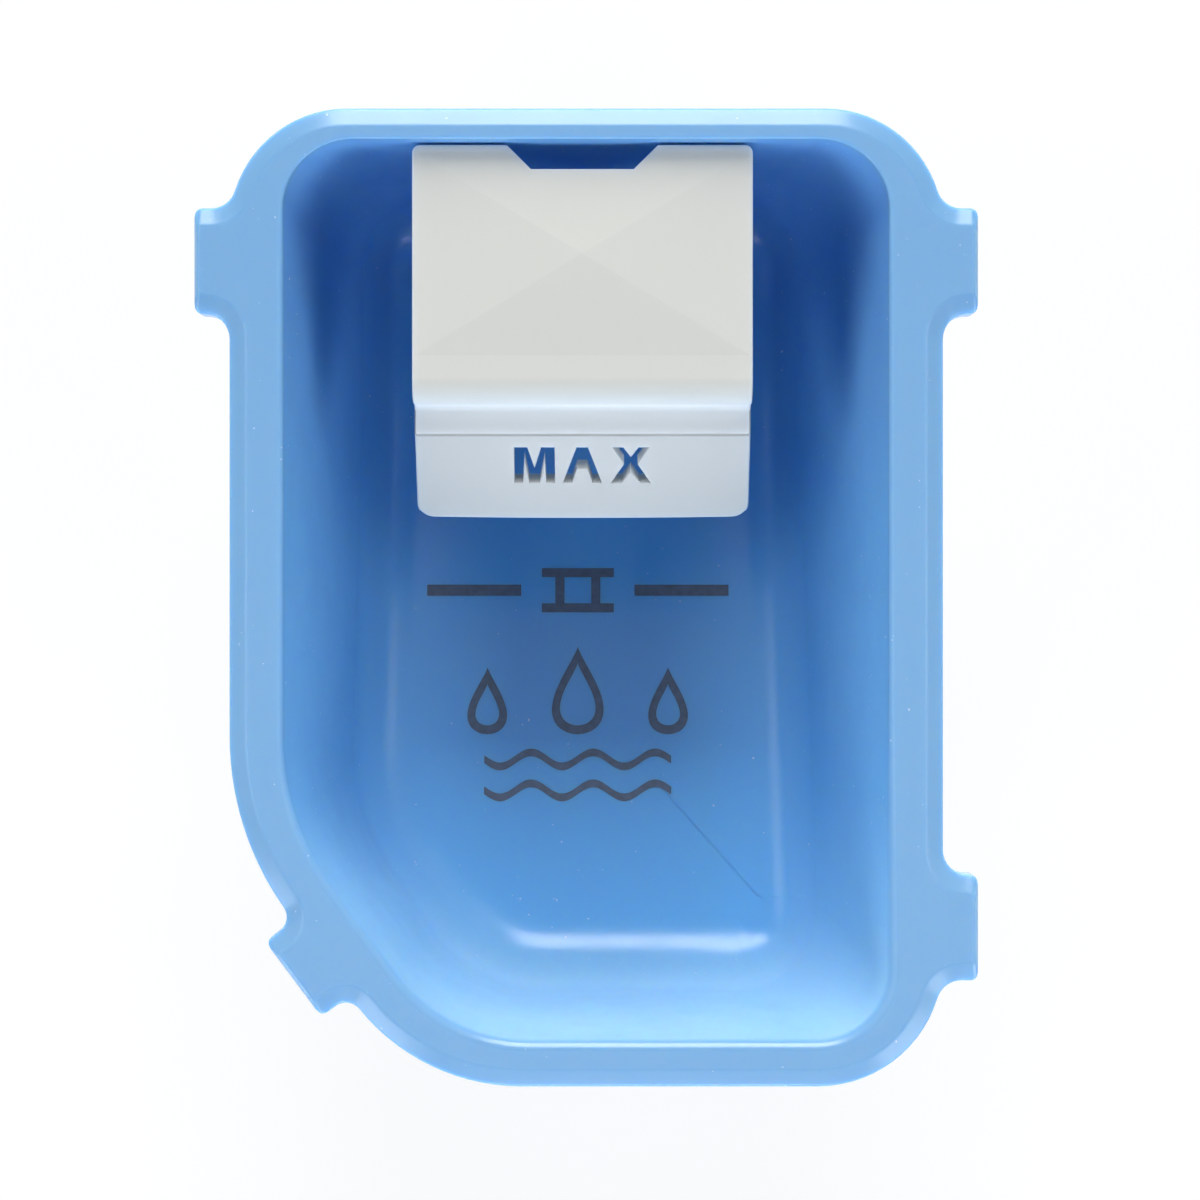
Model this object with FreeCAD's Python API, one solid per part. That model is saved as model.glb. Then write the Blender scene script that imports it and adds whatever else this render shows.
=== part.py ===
"""Liquid detergent cup of a washing machine's dispenser drawer, with its lift-out siphon insert.

Frame: +X to the right, +Y towards the siphon end (the back), +Z up. The origin is the middle of the
cup's outer box, on the level that the cup stands on. All sizes are in millimetres.

Two mouldings make the product:
  cup            a drafted tub with a hollow bevelled rim, four rim tabs, a floor that falls to a level
                 sump, a standpipe through that sump and two ribs that let it stand level
  siphon_insert  a hood with a fill-limit flap, carrying the bell that drops over the standpipe
"""
import FreeCAD
import Part

import math
import os
from collections import namedtuple

Vector = FreeCAD.Vector

# Overall sizes of the cup
RIM_WIDTH = 91.2            # across the rim, without the tabs
RIM_LENGTH = 125.0          # front to back
CUP_HEIGHT = 60.0           # standing level to the top of the rim

# Plan of the rim: one cut-off corner at the front left
BACK_CORNER_R = 15.0
FRONT_CORNER_R = 16.0
CUT_ON_LEFT = 32.15         # how far the cut reaches back along the left side
CUT_ON_FRONT = 23.95        # and along the front
CUT_SIDE_R = 37.9           # rounds the cut into the left side
CUT_FRONT_R = 26.6          # and into the front

# Rim section
BAND_LEFT = 6.85            # rim edge to the mouth of the tub, on each side
BAND_RIGHT = 6.9
BAND_BACK = 4.05
BAND_FRONT = 6.0
BAND_CUT = 6.7
RIM_HEIGHT = 6.0            # top of the rim to the lower edge of its skirt
BEVEL = 2.35                # sloping outer edge of the rim's top, measured level
BEVEL_DROP = 1.1            # and downwards
RIM_SKIN = 1.6              # thickness of the rim's top
SKIRT_SKIN = 1.4            # thickness of the rim's skirt
MOUTH_R = 0.9               # rounding from the rim into the tub

# Rim tabs, which drop into notches of the drawer
TAB_REACH = 4.4             # past the rim's edge
TAB_WIDTH = 13.5
CUT_TAB_WIDTH = 12.0        # the one on the cut
BACK_TAB_SETBACK = 19.5     # middle of the two back tabs, from the back of the rim
FRONT_TAB_SETBACK = 20.3    # middle of the front right tab, from the front of the rim
CUT_TAB_AT = 19.65          # middle of the cut's tab, along the cut from the left side
TAB_ROOT_R = 3.2            # blend between a tab and the rim
CUT_TAB_ROOT_R = 2.2
TAB_END_R = 0.9             # rounds the edges of a tab's end

# Tub
WALL = 1.6
FLOOR = 2.0
DRAFT_LEFT = 7.2            # degrees
DRAFT_RIGHT = 9.1
DRAFT_BACK = 2.0
DRAFT_FRONT = 2.8
DRAFT_CUT = 4.0
MOUTH_CORNER_R = 9.0        # inside corners of the tub at the rim, and the same down to the floor
FLOOR_FILLET_R = 8.0        # inside, between floor and walls
FLOOR_FALL = 9.0            # degrees, from the front down to the sump
SUMP_LENGTH = 34.0          # level part of the floor, from the foot of the back wall
FLOOR_BEND_R = 60.0         # between the sloping floor and the sump

# Ribs under the sloping floor
RIB_SKIN = 1.6
RIB_SPACING = 34.0
RIB_SETBACK = 6.0           # of the ribs' front ends, from the foot of the front wall
RIB_CORNER = 4.0            # cut off at their front lower ends

# Siphon: standpipe in the cup, bell on the insert
SIPHON_X = -0.5
BORE_R = 3.5
PIPE_SKIN = 1.5
CREST_DROP = 13.5           # crest of the siphon, below the top of the rim
PIPE_TOP_CHAMFER = 0.5
BELL_GAP = 2.2              # water way between the standpipe and the bell
BELL_SKIN = 1.4
BELL_TO_FILLET = 0.6        # bell's outside to the start of the floor fillet
BELL_SLOT_WIDTH = 5.0       # liquid enters the bell through these
BELL_SLOT_HEIGHT = 3.0
GUIDE_RIB_COUNT = 3         # inside the bell, to keep it upright on the standpipe
GUIDE_RIB_SKIN = 1.2
GUIDE_RIB_LENGTH = 26.0
GUIDE_CLEARANCE = 0.3

# Hood of the siphon insert; drops are measured down from the top of the rim
HOOD_WIDTH = 43.7
HOOD_DROP = 2.6             # edge of the hood's top
HOOD_LENGTH = 33.1          # back edge to the front of the step
HOOD_SKIN = 2.0
HOOD_BACK_CLEARANCE = 0.25  # to the cup's back wall
HOOD_CROWN = 0.7            # rise of the four-sided top
CROWN_SETBACK = 6.1         # of the crown's front edge, from the step
HOOD_BEND_R = 3.2           # front of the top, down into the step
HOOD_CORNER_R = 1.0
STEP_DROP = 8.6             # ledge in front of the step
STEP_INNER_R = 0.8          # where the step meets the ledge
LEDGE_LENGTH = 3.8
LEDGE_LIP = 0.6             # small drop from the ledge to the flap
FLAP_TILT = 32.0            # degrees below level
FLAP_LENGTH = 12.6          # down the slope
FLAP_SKIN = 2.6
FLAP_CORNER_R = 2.2
SIDE_SKIN = 1.5             # cheeks under the two sides of the hood
CHEEK_DEPTH = 6.0           # below the hood's top
CHEEK_SETBACK = 1.4         # of the cheeks' back ends
NOTCH_WIDTH = 13.2          # finger notch in the back edge, at its bottom
NOTCH_DEPTH = 3.15

# Fill limit: three plain capitals cut through the flap
LIMIT_HEIGHT = 5.4          # of the capitals, up the slope
LIMIT_SETBACK = 5.4         # of their feet, from the lower edge of the flap
LIMIT_M, LIMIT_A, LIMIT_X = -9.0, -2.65, 3.65   # left edge of each, from the middle of the flap
# Outlines of the capitals: distance to the right of the left edge, and share of the height
M_OUTLINE = ((0, 0), (1.16, 0), (1.34, 0.62), (1.96, 0), (3.39, 0), (4.01, 0.62), (4.19, 0),
             (5.35, 0), (5.35, 1), (3.58, 1), (2.675, 0.43), (1.77, 1), (0, 1))
A_OUTLINE = ((0, 0), (1.28, 0), (1.92, 0.39), (3.26, 0.39), (3.9, 0), (5.18, 0), (3.34, 1), (1.84, 1))
X_OUTLINE = ((0, 0), (1.5, 0), (2.65, 0.32), (3.8, 0), (5.3, 0), (3.55, 0.53), (5.1, 1), (3.65, 1),
             (2.65, 0.73), (1.65, 1), (0.2, 1), (1.75, 0.53))

# Outlines hold the distance of each side from the middle, and the radius of each corner
Outline = namedtuple("Outline", "left right back front cut back_r front_r cut_side_r cut_front_r")

CUT_START = Vector(-RIM_WIDTH / 2, CUT_ON_LEFT - RIM_LENGTH / 2, 0)
CUT_ALONG = Vector(CUT_ON_FRONT, -CUT_ON_LEFT, 0).normalize()
CUT_NORMAL = Vector(CUT_ALONG.y, -CUT_ALONG.x, 0)
CUT_DISTANCE = CUT_START.dot(CUT_NORMAL)
RIM = Outline(RIM_WIDTH / 2, RIM_WIDTH / 2, RIM_LENGTH / 2, RIM_LENGTH / 2, CUT_DISTANCE,
              BACK_CORNER_R, FRONT_CORNER_R, CUT_SIDE_R, CUT_FRONT_R)
RIM_FOOT = CUP_HEIGHT - RIM_HEIGHT
FAR = 4 * (RIM_LENGTH + RIM_WIDTH + CUP_HEIGHT)     # safely past everything
PAST = 1.0                                          # how far a cutter runs past what it cuts
TINY = 1e-4                                         # two places this near are the same


def tan(degrees):
    return math.tan(math.radians(degrees))


# Plan outlines

def inset(outline, distance):
    """The same outline, moved in by a distance on every side; its corners stay concentric."""
    return Outline(*(value - distance for value in outline))


def outline_corners(outline):
    """Corner points and radii, anticlockwise from the back right."""
    left, right, back, front = -outline.left, outline.right, outline.back, -outline.front
    cut_on_left = (outline.cut - CUT_NORMAL.x * left) / CUT_NORMAL.y
    cut_on_front = (outline.cut - CUT_NORMAL.y * front) / CUT_NORMAL.x
    return [(Vector(right, back, 0), outline.back_r),
            (Vector(left, back, 0), outline.back_r),
            (Vector(left, cut_on_left, 0), outline.cut_side_r),
            (Vector(cut_on_front, front, 0), outline.cut_front_r),
            (Vector(right, front, 0), outline.front_r)]


def rounded_wire(corners, z):
    """A closed wire of straight sides and tangent arcs at a height."""
    arcs = []
    for index, (point, radius) in enumerate(corners):
        before = (corners[index - 1][0] - point).normalize()
        after = (corners[(index + 1) % len(corners)][0] - point).normalize()
        half = before.getAngle(after) / 2
        reach = radius / math.tan(half)
        middle = (before + after).normalize() * (radius / math.sin(half) - radius)
        arcs.append([point + move + Vector(0, 0, z) for move in (before * reach, middle, after * reach)])
    edges = []
    for index, arc in enumerate(arcs):
        edges.append(Part.Arc(*arc).toShape())
        edges.append(Part.LineSegment(arc[2], arcs[(index + 1) % len(arcs)][0]).toShape())
    return Part.Wire(edges)


def outline_wire(outline, z):
    return rounded_wire(outline_corners(outline), z)


def polygon_face(points):
    return Part.Face(Part.makePolygon(points + points[:1]))


def box(low, high):
    return Part.makeBox(high[0] - low[0], high[1] - low[1], high[2] - low[2], Vector(*low))


def extruded_profile(points, width, middle_x):
    """A profile in the YZ plane, extruded along X about middle_x."""
    face = polygon_face([Vector(middle_x - width / 2, y, z) for y, z in points])
    return face.extrude(Vector(width, 0, 0))


def at_height(shape, z):
    """Whether a face or an edge lies level at a height."""
    return abs(shape.BoundBox.ZMin - z) < TINY and abs(shape.BoundBox.ZMax - z) < TINY


# Rim

def tab_block(centre, outward, reach, width, height):
    """A tab as a plain block that starts well inside the rim; centre is on the rim's edge."""
    root = centre - outward * TAB_WIDTH
    end = centre + outward * reach
    half = sideways(outward) * (width / 2)
    face = polygon_face([root - half, end - half, end + half, root + half])
    return face.extrude(Vector(0, 0, height))


def rim_tabs():
    """Middle of each tab on the rim's edge, its outward direction, width and root blend."""
    right, left = Vector(1, 0, 0), Vector(-1, 0, 0)
    back_y, front_y = RIM.back - BACK_TAB_SETBACK, FRONT_TAB_SETBACK - RIM.front
    return [(Vector(RIM.right, back_y, 0), right, TAB_WIDTH, TAB_ROOT_R),
            (Vector(-RIM.left, back_y, 0), left, TAB_WIDTH, TAB_ROOT_R),
            (Vector(RIM.right, front_y, 0), right, TAB_WIDTH, TAB_ROOT_R),
            (CUT_START + CUT_ALONG * CUT_TAB_AT, CUT_NORMAL, CUT_TAB_WIDTH, CUT_TAB_ROOT_R)]


def sideways(outward):
    return Vector(-outward.y, outward.x, 0)


def on_tab_end(edge, depth):
    """Whether an edge lies on the end face of a tab whose end is moved in by depth."""
    for centre, outward, width, _ in rim_tabs():
        from_centre = edge.CenterOfMass - centre
        past_end = from_centre.dot(outward) - (TAB_REACH - depth)
        if abs(past_end) < TINY and abs(from_centre.dot(sideways(outward))) < width:
            return True
    return False


def rim_block(depth, foot, top, bevel, drop):
    """The rim and its tabs as one bevelled block, moved in by depth on its outside."""
    height = top - foot
    block = Part.Face(outline_wire(inset(RIM, depth), 0)).extrude(Vector(0, 0, height))
    for centre, outward, width, _ in rim_tabs():
        block = block.fuse(tab_block(centre, outward, TAB_REACH - depth, width - 2 * depth, height))
    block = block.removeSplitter()
    for centre, outward, width, root_r in rim_tabs():
        roots = [edge for edge in block.Edges if is_tab_root(edge, centre, outward, width - 2 * depth)]
        block = block.makeFillet(root_r, roots)
    block.translate(Vector(0, 0, foot))
    # A chamfer measures its first size on the first face that holds an edge, so the top comes first
    block = Part.Solid(Part.Shell(sorted(block.Faces, key=lambda face: not at_height(face, top))))
    top_edges = [edge for edge in block.Edges if at_height(edge, top) and not on_tab_end(edge, depth)]
    return block.makeChamfer(bevel, drop, top_edges)


def is_tab_root(edge, centre, outward, width):
    """Whether an edge is one of the two upright inside corners between a tab and the rim."""
    if edge.BoundBox.XLength + edge.BoundBox.YLength > TINY:
        return False
    from_centre = edge.CenterOfMass - centre
    off_side = abs(from_centre.dot(sideways(outward))) - width / 2
    return abs(off_side) < TINY and abs(from_centre.dot(outward)) < TAB_REACH / 2


def rim():
    """The hollow rim, still closed over the mouth of the tub."""
    outside = round_tab_ends(rim_block(0, RIM_FOOT, CUP_HEIGHT, BEVEL, BEVEL_DROP))
    inner = BEVEL - SKIRT_SKIN / 2
    inside = rim_block(SKIRT_SKIN, RIM_FOOT - PAST, CUP_HEIGHT - RIM_SKIN, inner, inner * BEVEL_DROP / BEVEL)
    return outside.cut(inside)


def round_tab_ends(block):
    ends = [edge for edge in block.Edges if on_tab_end(edge, 0) and not at_height(edge, RIM_FOOT)]
    return block.makeFillet(TAB_END_R, ends)


# Tub

MOUTH = Outline(RIM.left - BAND_LEFT, RIM.right - BAND_RIGHT, RIM.back - BAND_BACK, RIM.front - BAND_FRONT,
                RIM.cut - BAND_CUT, MOUTH_CORNER_R, MOUTH_CORNER_R,
                CUT_SIDE_R - BAND_LEFT, CUT_FRONT_R - BAND_FRONT)


def tub_section(z):
    """Inside outline of the tub at a height."""
    fall = CUP_HEIGHT - z
    return MOUTH._replace(left=MOUTH.left - fall * tan(DRAFT_LEFT),
                          right=MOUTH.right - fall * tan(DRAFT_RIGHT),
                          back=MOUTH.back - fall * tan(DRAFT_BACK),
                          front=MOUTH.front - fall * tan(DRAFT_FRONT),
                          cut=MOUTH.cut - fall * tan(DRAFT_CUT))


SUMP_BACK_Y = tub_section(FLOOR).back
SUMP_FRONT_Y = SUMP_BACK_Y - SUMP_LENGTH


def floor_height(y):
    """Height of the inside floor, without the bend's rounding."""
    return FLOOR + max(0, SUMP_FRONT_Y - y) * tan(FLOOR_FALL)


def above_floor(drop):
    """Everything above the floor, or above the floor moved down by drop."""
    bend = FLOOR_BEND_R * tan(FLOOR_FALL / 2)
    slope = math.radians(FLOOR_FALL)
    sump = FLOOR - drop
    start = Vector(-FAR, SUMP_FRONT_Y + bend, sump)
    middle, end = (start + Vector(0, -math.sin(turn), 1 - math.cos(turn)) * FLOOR_BEND_R
                   for turn in (slope / 2, slope))
    front = end + Vector(0, -math.cos(slope), math.sin(slope)) * RIM_LENGTH
    back = Vector(-FAR, RIM_LENGTH, sump)
    up = Vector(0, 0, FAR)
    corners = [end, front, front + up, back + up, back, start]
    edges = [Part.LineSegment(a, b).toShape() for a, b in zip(corners, corners[1:])]
    edges.append(Part.Arc(start, middle, end).toShape())
    return Part.Face(Part.Wire(edges)).extrude(Vector(2 * FAR, 0, 0))


def tub_form(skin, drop, top):
    """The tub as a solid form: its inside, or its outside with the wall as skin and the floor as drop."""
    deep = FLOOR - drop - PAST
    low, high = (outline_corners(inset(tub_section(z), -skin)) for z in (deep, top))
    feet = [point + Vector(0, 0, deep) for point, _ in low]
    heads = [point + Vector(0, 0, top) for point, _ in high]
    form = frustum(feet, heads)
    for foot, head, (_, radius) in zip(feet, heads, high):
        form = round_middle(form, (foot + head) / 2, radius)
    form = form.common(above_floor(drop)).removeSplitter()
    floor_faces = [face for face in form.Faces if faces_down(face)]
    rims = [edge for face in floor_faces for edge in face.Edges]
    joints = [edge for edge in rims if sum(edge.isSame(other) for other in rims) == 1]
    return form.makeFillet(FLOOR_FILLET_R + skin, joints)


def frustum(low, high):
    """A solid between two polygons with as many corners and parallel sides."""
    sides = [polygon_face([low[i - 1], low[i], high[i], high[i - 1]]) for i in range(len(low))]
    return Part.Solid(Part.Shell([polygon_face(low[::-1]), polygon_face(high), *sides]))


def round_middle(shape, middle, radius):
    """Rounds the edge whose middle is at a point."""
    found = [edge for edge in shape.Edges if edge.CenterOfMass.distanceToPoint(middle) < TINY]
    return shape.makeFillet(radius, found)


def faces_down(face):
    """Whether a face looks down within twice the floor's fall, as the floor's own faces do."""
    low_u, high_u, low_v, high_v = face.ParameterRange
    normal = face.normalAt((low_u + high_u) / 2, (low_v + high_v) / 2)
    return -normal.z > math.cos(math.radians(2 * FLOOR_FALL))


def support_ribs():
    """Two upright ribs under the sloping floor, level with the underside of the sump."""
    front = -tub_section(FLOOR).front + RIB_SETBACK
    inside_floor = FLOOR / 2
    profile = [(SUMP_FRONT_Y, 0), (front + RIB_CORNER, 0), (front, RIB_CORNER),
               (front, floor_height(front) - inside_floor), (SUMP_FRONT_Y, FLOOR - inside_floor)]
    return [extruded_profile(profile, RIB_SKIN, side * RIB_SPACING / 2) for side in (-1, 1)]


# Siphon

PIPE_R = BORE_R + PIPE_SKIN
PIPE_TOP = CUP_HEIGHT - CREST_DROP
BELL_BORE_R = PIPE_R + BELL_GAP
BELL_R = BELL_BORE_R + BELL_SKIN
SIPHON_Y = SUMP_BACK_Y - FLOOR_FILLET_R - BELL_R - BELL_TO_FILLET
SIPHON = Vector(SIPHON_X, SIPHON_Y, 0)


def standpipe():
    pipe = Part.makeCylinder(PIPE_R, PIPE_TOP - FLOOR / 2, SIPHON + Vector(0, 0, FLOOR / 2))
    return pipe.makeChamfer(PIPE_TOP_CHAMFER, [edge for edge in pipe.Edges if at_height(edge, PIPE_TOP)])


def round_mouth(cup):
    """Rounds the rim's top into the tub."""
    top = next(face for face in cup.Faces if at_height(face, CUP_HEIGHT))
    mouth = min(top.Wires, key=lambda wire: wire.BoundBox.DiagonalLength)
    return cup.makeFillet(MOUTH_R, mouth.Edges)


def make_cup():
    cup = rim().fuse([tub_form(WALL, FLOOR, CUP_HEIGHT - RIM_SKIN / 2), *support_ribs()])
    cup = round_mouth(cup.cut(tub_form(0, 0, CUP_HEIGHT + PAST)).removeSplitter())
    cup = cup.fuse(standpipe()).cut(Part.makeCylinder(BORE_R, FAR, SIPHON - Vector(0, 0, FAR / 2)))
    return cup.removeSplitter()


# Siphon insert

HOOD_Z = CUP_HEIGHT - HOOD_DROP
HOOD_BACK_Y = MOUTH.back - (HOOD_DROP + HOOD_SKIN) * tan(DRAFT_BACK) - HOOD_BACK_CLEARANCE
HOOD_FRONT_Y = HOOD_BACK_Y - HOOD_LENGTH
STEP_Z = CUP_HEIGHT - STEP_DROP
FLAP_DOWN = Vector(0, -math.cos(math.radians(FLAP_TILT)), -math.sin(math.radians(FLAP_TILT)))
FLAP_IN = Vector(0, -FLAP_DOWN.z, FLAP_DOWN.y)      # square to the flap, into its top
FLAP_TOP = Vector(SIPHON_X, HOOD_FRONT_Y - LEDGE_LENGTH, STEP_Z - LEDGE_LIP)
FLAP_END = FLAP_TOP + FLAP_DOWN * FLAP_LENGTH


def hood_plate():
    """Top, step, ledge and flap: one bent plate."""
    flap_under = FLAP_END + FLAP_IN * FLAP_SKIN
    ledge_under = STEP_Z - HOOD_SKIN
    meet = flap_under - FLAP_DOWN * ((flap_under.z - ledge_under) / FLAP_DOWN.z)
    inner_front = HOOD_FRONT_Y + HOOD_SKIN
    profile = [(HOOD_BACK_Y, HOOD_Z), (HOOD_FRONT_Y, HOOD_Z), (HOOD_FRONT_Y, STEP_Z),
               (FLAP_TOP.y, STEP_Z), (FLAP_TOP.y, FLAP_TOP.z), (FLAP_END.y, FLAP_END.z),
               (flap_under.y, flap_under.z), (meet.y, meet.z), (inner_front, ledge_under),
               (inner_front, HOOD_Z - HOOD_SKIN), (HOOD_BACK_Y, HOOD_Z - HOOD_SKIN)]
    plate = extruded_profile(profile, HOOD_WIDTH, SIPHON_X)
    plate = round_at(plate, HOOD_FRONT_Y, HOOD_Z, HOOD_BEND_R)
    plate = round_at(plate, HOOD_FRONT_Y, STEP_Z, STEP_INNER_R)
    flap_edge = (FLAP_END + flap_under) / 2
    plate = round_at(plate, flap_edge.y, flap_edge.z, FLAP_CORNER_R)
    return round_at(plate, HOOD_BACK_Y, HOOD_Z - HOOD_SKIN / 2, HOOD_CORNER_R)


def round_at(plate, y, z, radius):
    """Rounds the edges whose middle is at (y, z): one across the plate, or one at each of its sides."""
    found = [edge for edge in plate.Edges
             if math.hypot(edge.CenterOfMass.y - y, edge.CenterOfMass.z - z) < TINY]
    return plate.makeFillet(radius, found)


def hood_crown():
    """The very shallow four-sided rise of the hood's top."""
    left, right = SIPHON_X - HOOD_WIDTH / 2, SIPHON_X + HOOD_WIDTH / 2
    front, back = HOOD_FRONT_Y + CROWN_SETBACK, HOOD_BACK_Y - HOOD_CORNER_R
    plan = ((left, front), (right, front), (right, back), (left, back))
    corners = [Vector(x, y, HOOD_Z) for x, y in plan]
    feet = [Vector(x, y, HOOD_Z - HOOD_SKIN / 2) for x, y in plan]
    apex = Vector(SIPHON_X, (front + back) / 2, HOOD_Z + HOOD_CROWN)
    faces = [polygon_face(feet)]
    for index in range(4):
        after = (index + 1) % 4
        faces.append(polygon_face([corners[index], corners[after], apex]))
        faces.append(polygon_face([feet[index], feet[after], corners[after], corners[index]]))
    return Part.Solid(Part.Shell(faces))


def finger_notch():
    """Cutter for the notch in the hood's back edge; its sides open at 45 degrees."""
    low, bottom, top = HOOD_Z - CHEEK_DEPTH, HOOD_BACK_Y - NOTCH_DEPTH, HOOD_BACK_Y + NOTCH_DEPTH
    half = NOTCH_WIDTH / 2
    wide = half + top - bottom
    plan = [(-half, bottom), (half, bottom), (wide, top), (-wide, top)]
    face = polygon_face([Vector(SIPHON_X + x, y, low) for x, y in plan])
    return face.extrude(Vector(0, 0, 2 * CHEEK_DEPTH))


def fill_limit():
    """Cutters for the capitals of the fill limit, square to the flap."""
    feet = FLAP_END - FLAP_DOWN * LIMIT_SETBACK - FLAP_IN * PAST
    cutters = []
    for left, outline in ((LIMIT_M, M_OUTLINE), (LIMIT_A, A_OUTLINE), (LIMIT_X, X_OUTLINE)):
        points = [feet + Vector(left + across, 0, 0) - FLAP_DOWN * (up * LIMIT_HEIGHT)
                  for across, up in outline]
        cutters.append(polygon_face(points).extrude(FLAP_IN * (FLAP_SKIN + 2 * PAST)))
    return cutters


def cheeks():
    """Upright plates under the two sides of the hood."""
    low, high = HOOD_Z - CHEEK_DEPTH, HOOD_Z - HOOD_SKIN / 2
    front, back = HOOD_FRONT_Y + HOOD_SKIN / 2, HOOD_BACK_Y - CHEEK_SETBACK
    outer = HOOD_WIDTH / 2
    spans = ((-outer, SIDE_SKIN - outer), (outer - SIDE_SKIN, outer))
    return [box((SIPHON_X + left, front, low), (SIPHON_X + right, back, high)) for left, right in spans]


def bell():
    """Tube that covers the standpipe and stands on the floor on four feet, cut to its form."""
    top = HOOD_Z - HOOD_SKIN / 2
    foot = SIPHON + Vector(0, 0, FLOOR)
    tube = Part.makeCylinder(BELL_R, top - FLOOR, foot)
    tube = tube.cut(Part.makeCylinder(BELL_BORE_R, HOOD_Z - HOOD_SKIN - FLOOR, foot))
    reach, half = 2 * BELL_R, BELL_SLOT_WIDTH / 2
    for x, y in ((reach, half), (half, reach)):
        across = Vector(x, y, BELL_SLOT_HEIGHT)
        tube = tube.cut(box(foot - across, foot + across))
    return tube.common(above_floor(0)).fuse(guide_ribs())


def guide_ribs():
    """Ribs inside the bell that run down the standpipe."""
    low = PIPE_TOP - GUIDE_RIB_LENGTH - PIPE_TOP_CHAMFER
    inner, outer = PIPE_R + GUIDE_CLEARANCE, BELL_BORE_R + BELL_SKIN / 2
    ribs = []
    for index in range(GUIDE_RIB_COUNT):
        rib = box((inner, -GUIDE_RIB_SKIN / 2, low), (outer, GUIDE_RIB_SKIN / 2, low + GUIDE_RIB_LENGTH))
        rib.rotate(Vector(0, 0, 0), Vector(0, 0, 1), 90 + index * 360 / GUIDE_RIB_COUNT)
        rib.translate(SIPHON)
        ribs.append(rib)
    return ribs


def make_siphon_insert():
    hood = hood_plate().fuse([hood_crown(), *cheeks()]).cut([finger_notch(), *fill_limit()])
    return hood.fuse(bell()).removeSplitter()


def main():
    os.makedirs("parts", exist_ok=True)
    for name, shape in (("cup", make_cup()), ("siphon_insert", make_siphon_insert())):
        print(name, "solids", len(shape.Solids), "valid", shape.isValid(), "volume", round(shape.Volume, 1))
        shape.Solids[0].exportStep("parts/" + name + ".step")


main()
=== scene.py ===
# %% [markdown]
# # A detergent cup with a siphon insert
# The cup drops into the main compartment of a washing machine's dispenser drawer and holds liquid detergent.
# It is one blue moulding, and the white insert in it is another.
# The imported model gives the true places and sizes, so everything here is built in the same frame, in metres.
# Both mouldings are made again as clean meshes, because a mesh with round edges catches the light
# as plastic does.

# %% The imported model
import math

import bmesh
import bpy
from mathutils import Matrix, Vector


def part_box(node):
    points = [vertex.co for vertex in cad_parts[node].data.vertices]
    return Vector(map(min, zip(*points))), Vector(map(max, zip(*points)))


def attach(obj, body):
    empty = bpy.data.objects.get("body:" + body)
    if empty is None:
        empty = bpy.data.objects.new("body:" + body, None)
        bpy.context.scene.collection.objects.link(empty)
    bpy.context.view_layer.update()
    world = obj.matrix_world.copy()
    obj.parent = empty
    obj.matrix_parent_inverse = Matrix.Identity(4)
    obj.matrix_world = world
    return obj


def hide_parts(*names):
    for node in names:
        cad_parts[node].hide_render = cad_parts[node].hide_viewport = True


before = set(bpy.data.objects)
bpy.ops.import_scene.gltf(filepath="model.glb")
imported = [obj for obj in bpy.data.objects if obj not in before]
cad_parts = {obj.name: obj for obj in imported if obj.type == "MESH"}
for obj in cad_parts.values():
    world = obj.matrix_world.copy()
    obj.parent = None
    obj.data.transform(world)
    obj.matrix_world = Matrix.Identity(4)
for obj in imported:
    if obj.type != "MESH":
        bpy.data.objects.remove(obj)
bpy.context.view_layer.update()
MM = 0.001

# %% [markdown]
# ## The plan of the cup
# Seen from above, the rim is a box with five sides: the front left corner is cut off so that the cup goes in
# one way round only. Each side is a direction and a distance from the middle, and neighbours meet in an arc.
# A drawn outline would do, but with distances the same few lines also give the tub, which is a smaller
# outline with its own corners, at every height.
# Lists of five go round the sides in one order: right, back, left, cut and front. A corner follows its side.

# %% Sides and corners of the rim
from collections import namedtuple

Outline = namedtuple("Outline", "distances radii")

cup_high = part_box("cup")[1] / MM
RIM_TOP = cup_high.z
TAB_REACH = 4.4
CUT_ON_LEFT, CUT_ON_FRONT = 32.15, 23.95
RIM_CORNERS = [15.0, 15.0, 37.9, 26.6, 16.0]
half_width, half_length = cup_high.x - TAB_REACH, cup_high.y

RIGHT, BACK, LEFT, CUT, FRONT = range(5)
cut_angle = math.pi + math.atan2(CUT_ON_FRONT, CUT_ON_LEFT)
SIDE_ANGLES = [0, math.pi / 2, math.pi, cut_angle, 1.5 * math.pi]
NORMALS = [Vector((math.cos(angle), math.sin(angle))) for angle in SIDE_ANGLES]
cut_start = Vector((-half_width, CUT_ON_LEFT - half_length))
rim_outline = Outline([half_width, half_length, half_width, cut_start.dot(NORMALS[CUT]), half_length],
                      RIM_CORNERS)


def corner_middle(outline, corner):
    """Centre of the arc between a side and the next one."""
    after = (corner + 1) % 5
    a, b = NORMALS[corner], NORMALS[after]
    reach_a, reach_b = (outline.distances[side] - outline.radii[corner] for side in (corner, after))
    turn = a.x * b.y - a.y * b.x
    return Vector(((reach_a * b.y - reach_b * a.y) / turn, (a.x * reach_b - b.x * reach_a) / turn))


def moved_in(outline, distance):
    return Outline([d - distance for d in outline.distances], [r - distance for r in outline.radii])


print("rim arcs centred at", [tuple(round(v, 2) for v in corner_middle(rim_outline, c)) for c in range(5)])

# %% [markdown]
# ## The tabs
# Four tabs on the rim drop into notches of the drawer. Each one swells out of the edge through two hollow
# curves. A boolean union would leave long thin faces there, and they shade badly.
# So a tab is a stretch of the outline itself, written in its own directions: along the edge and out of it.

# %% One tab as a stretch of the outline
Tab = namedtuple("Tab", "side centre width root before after")

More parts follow.
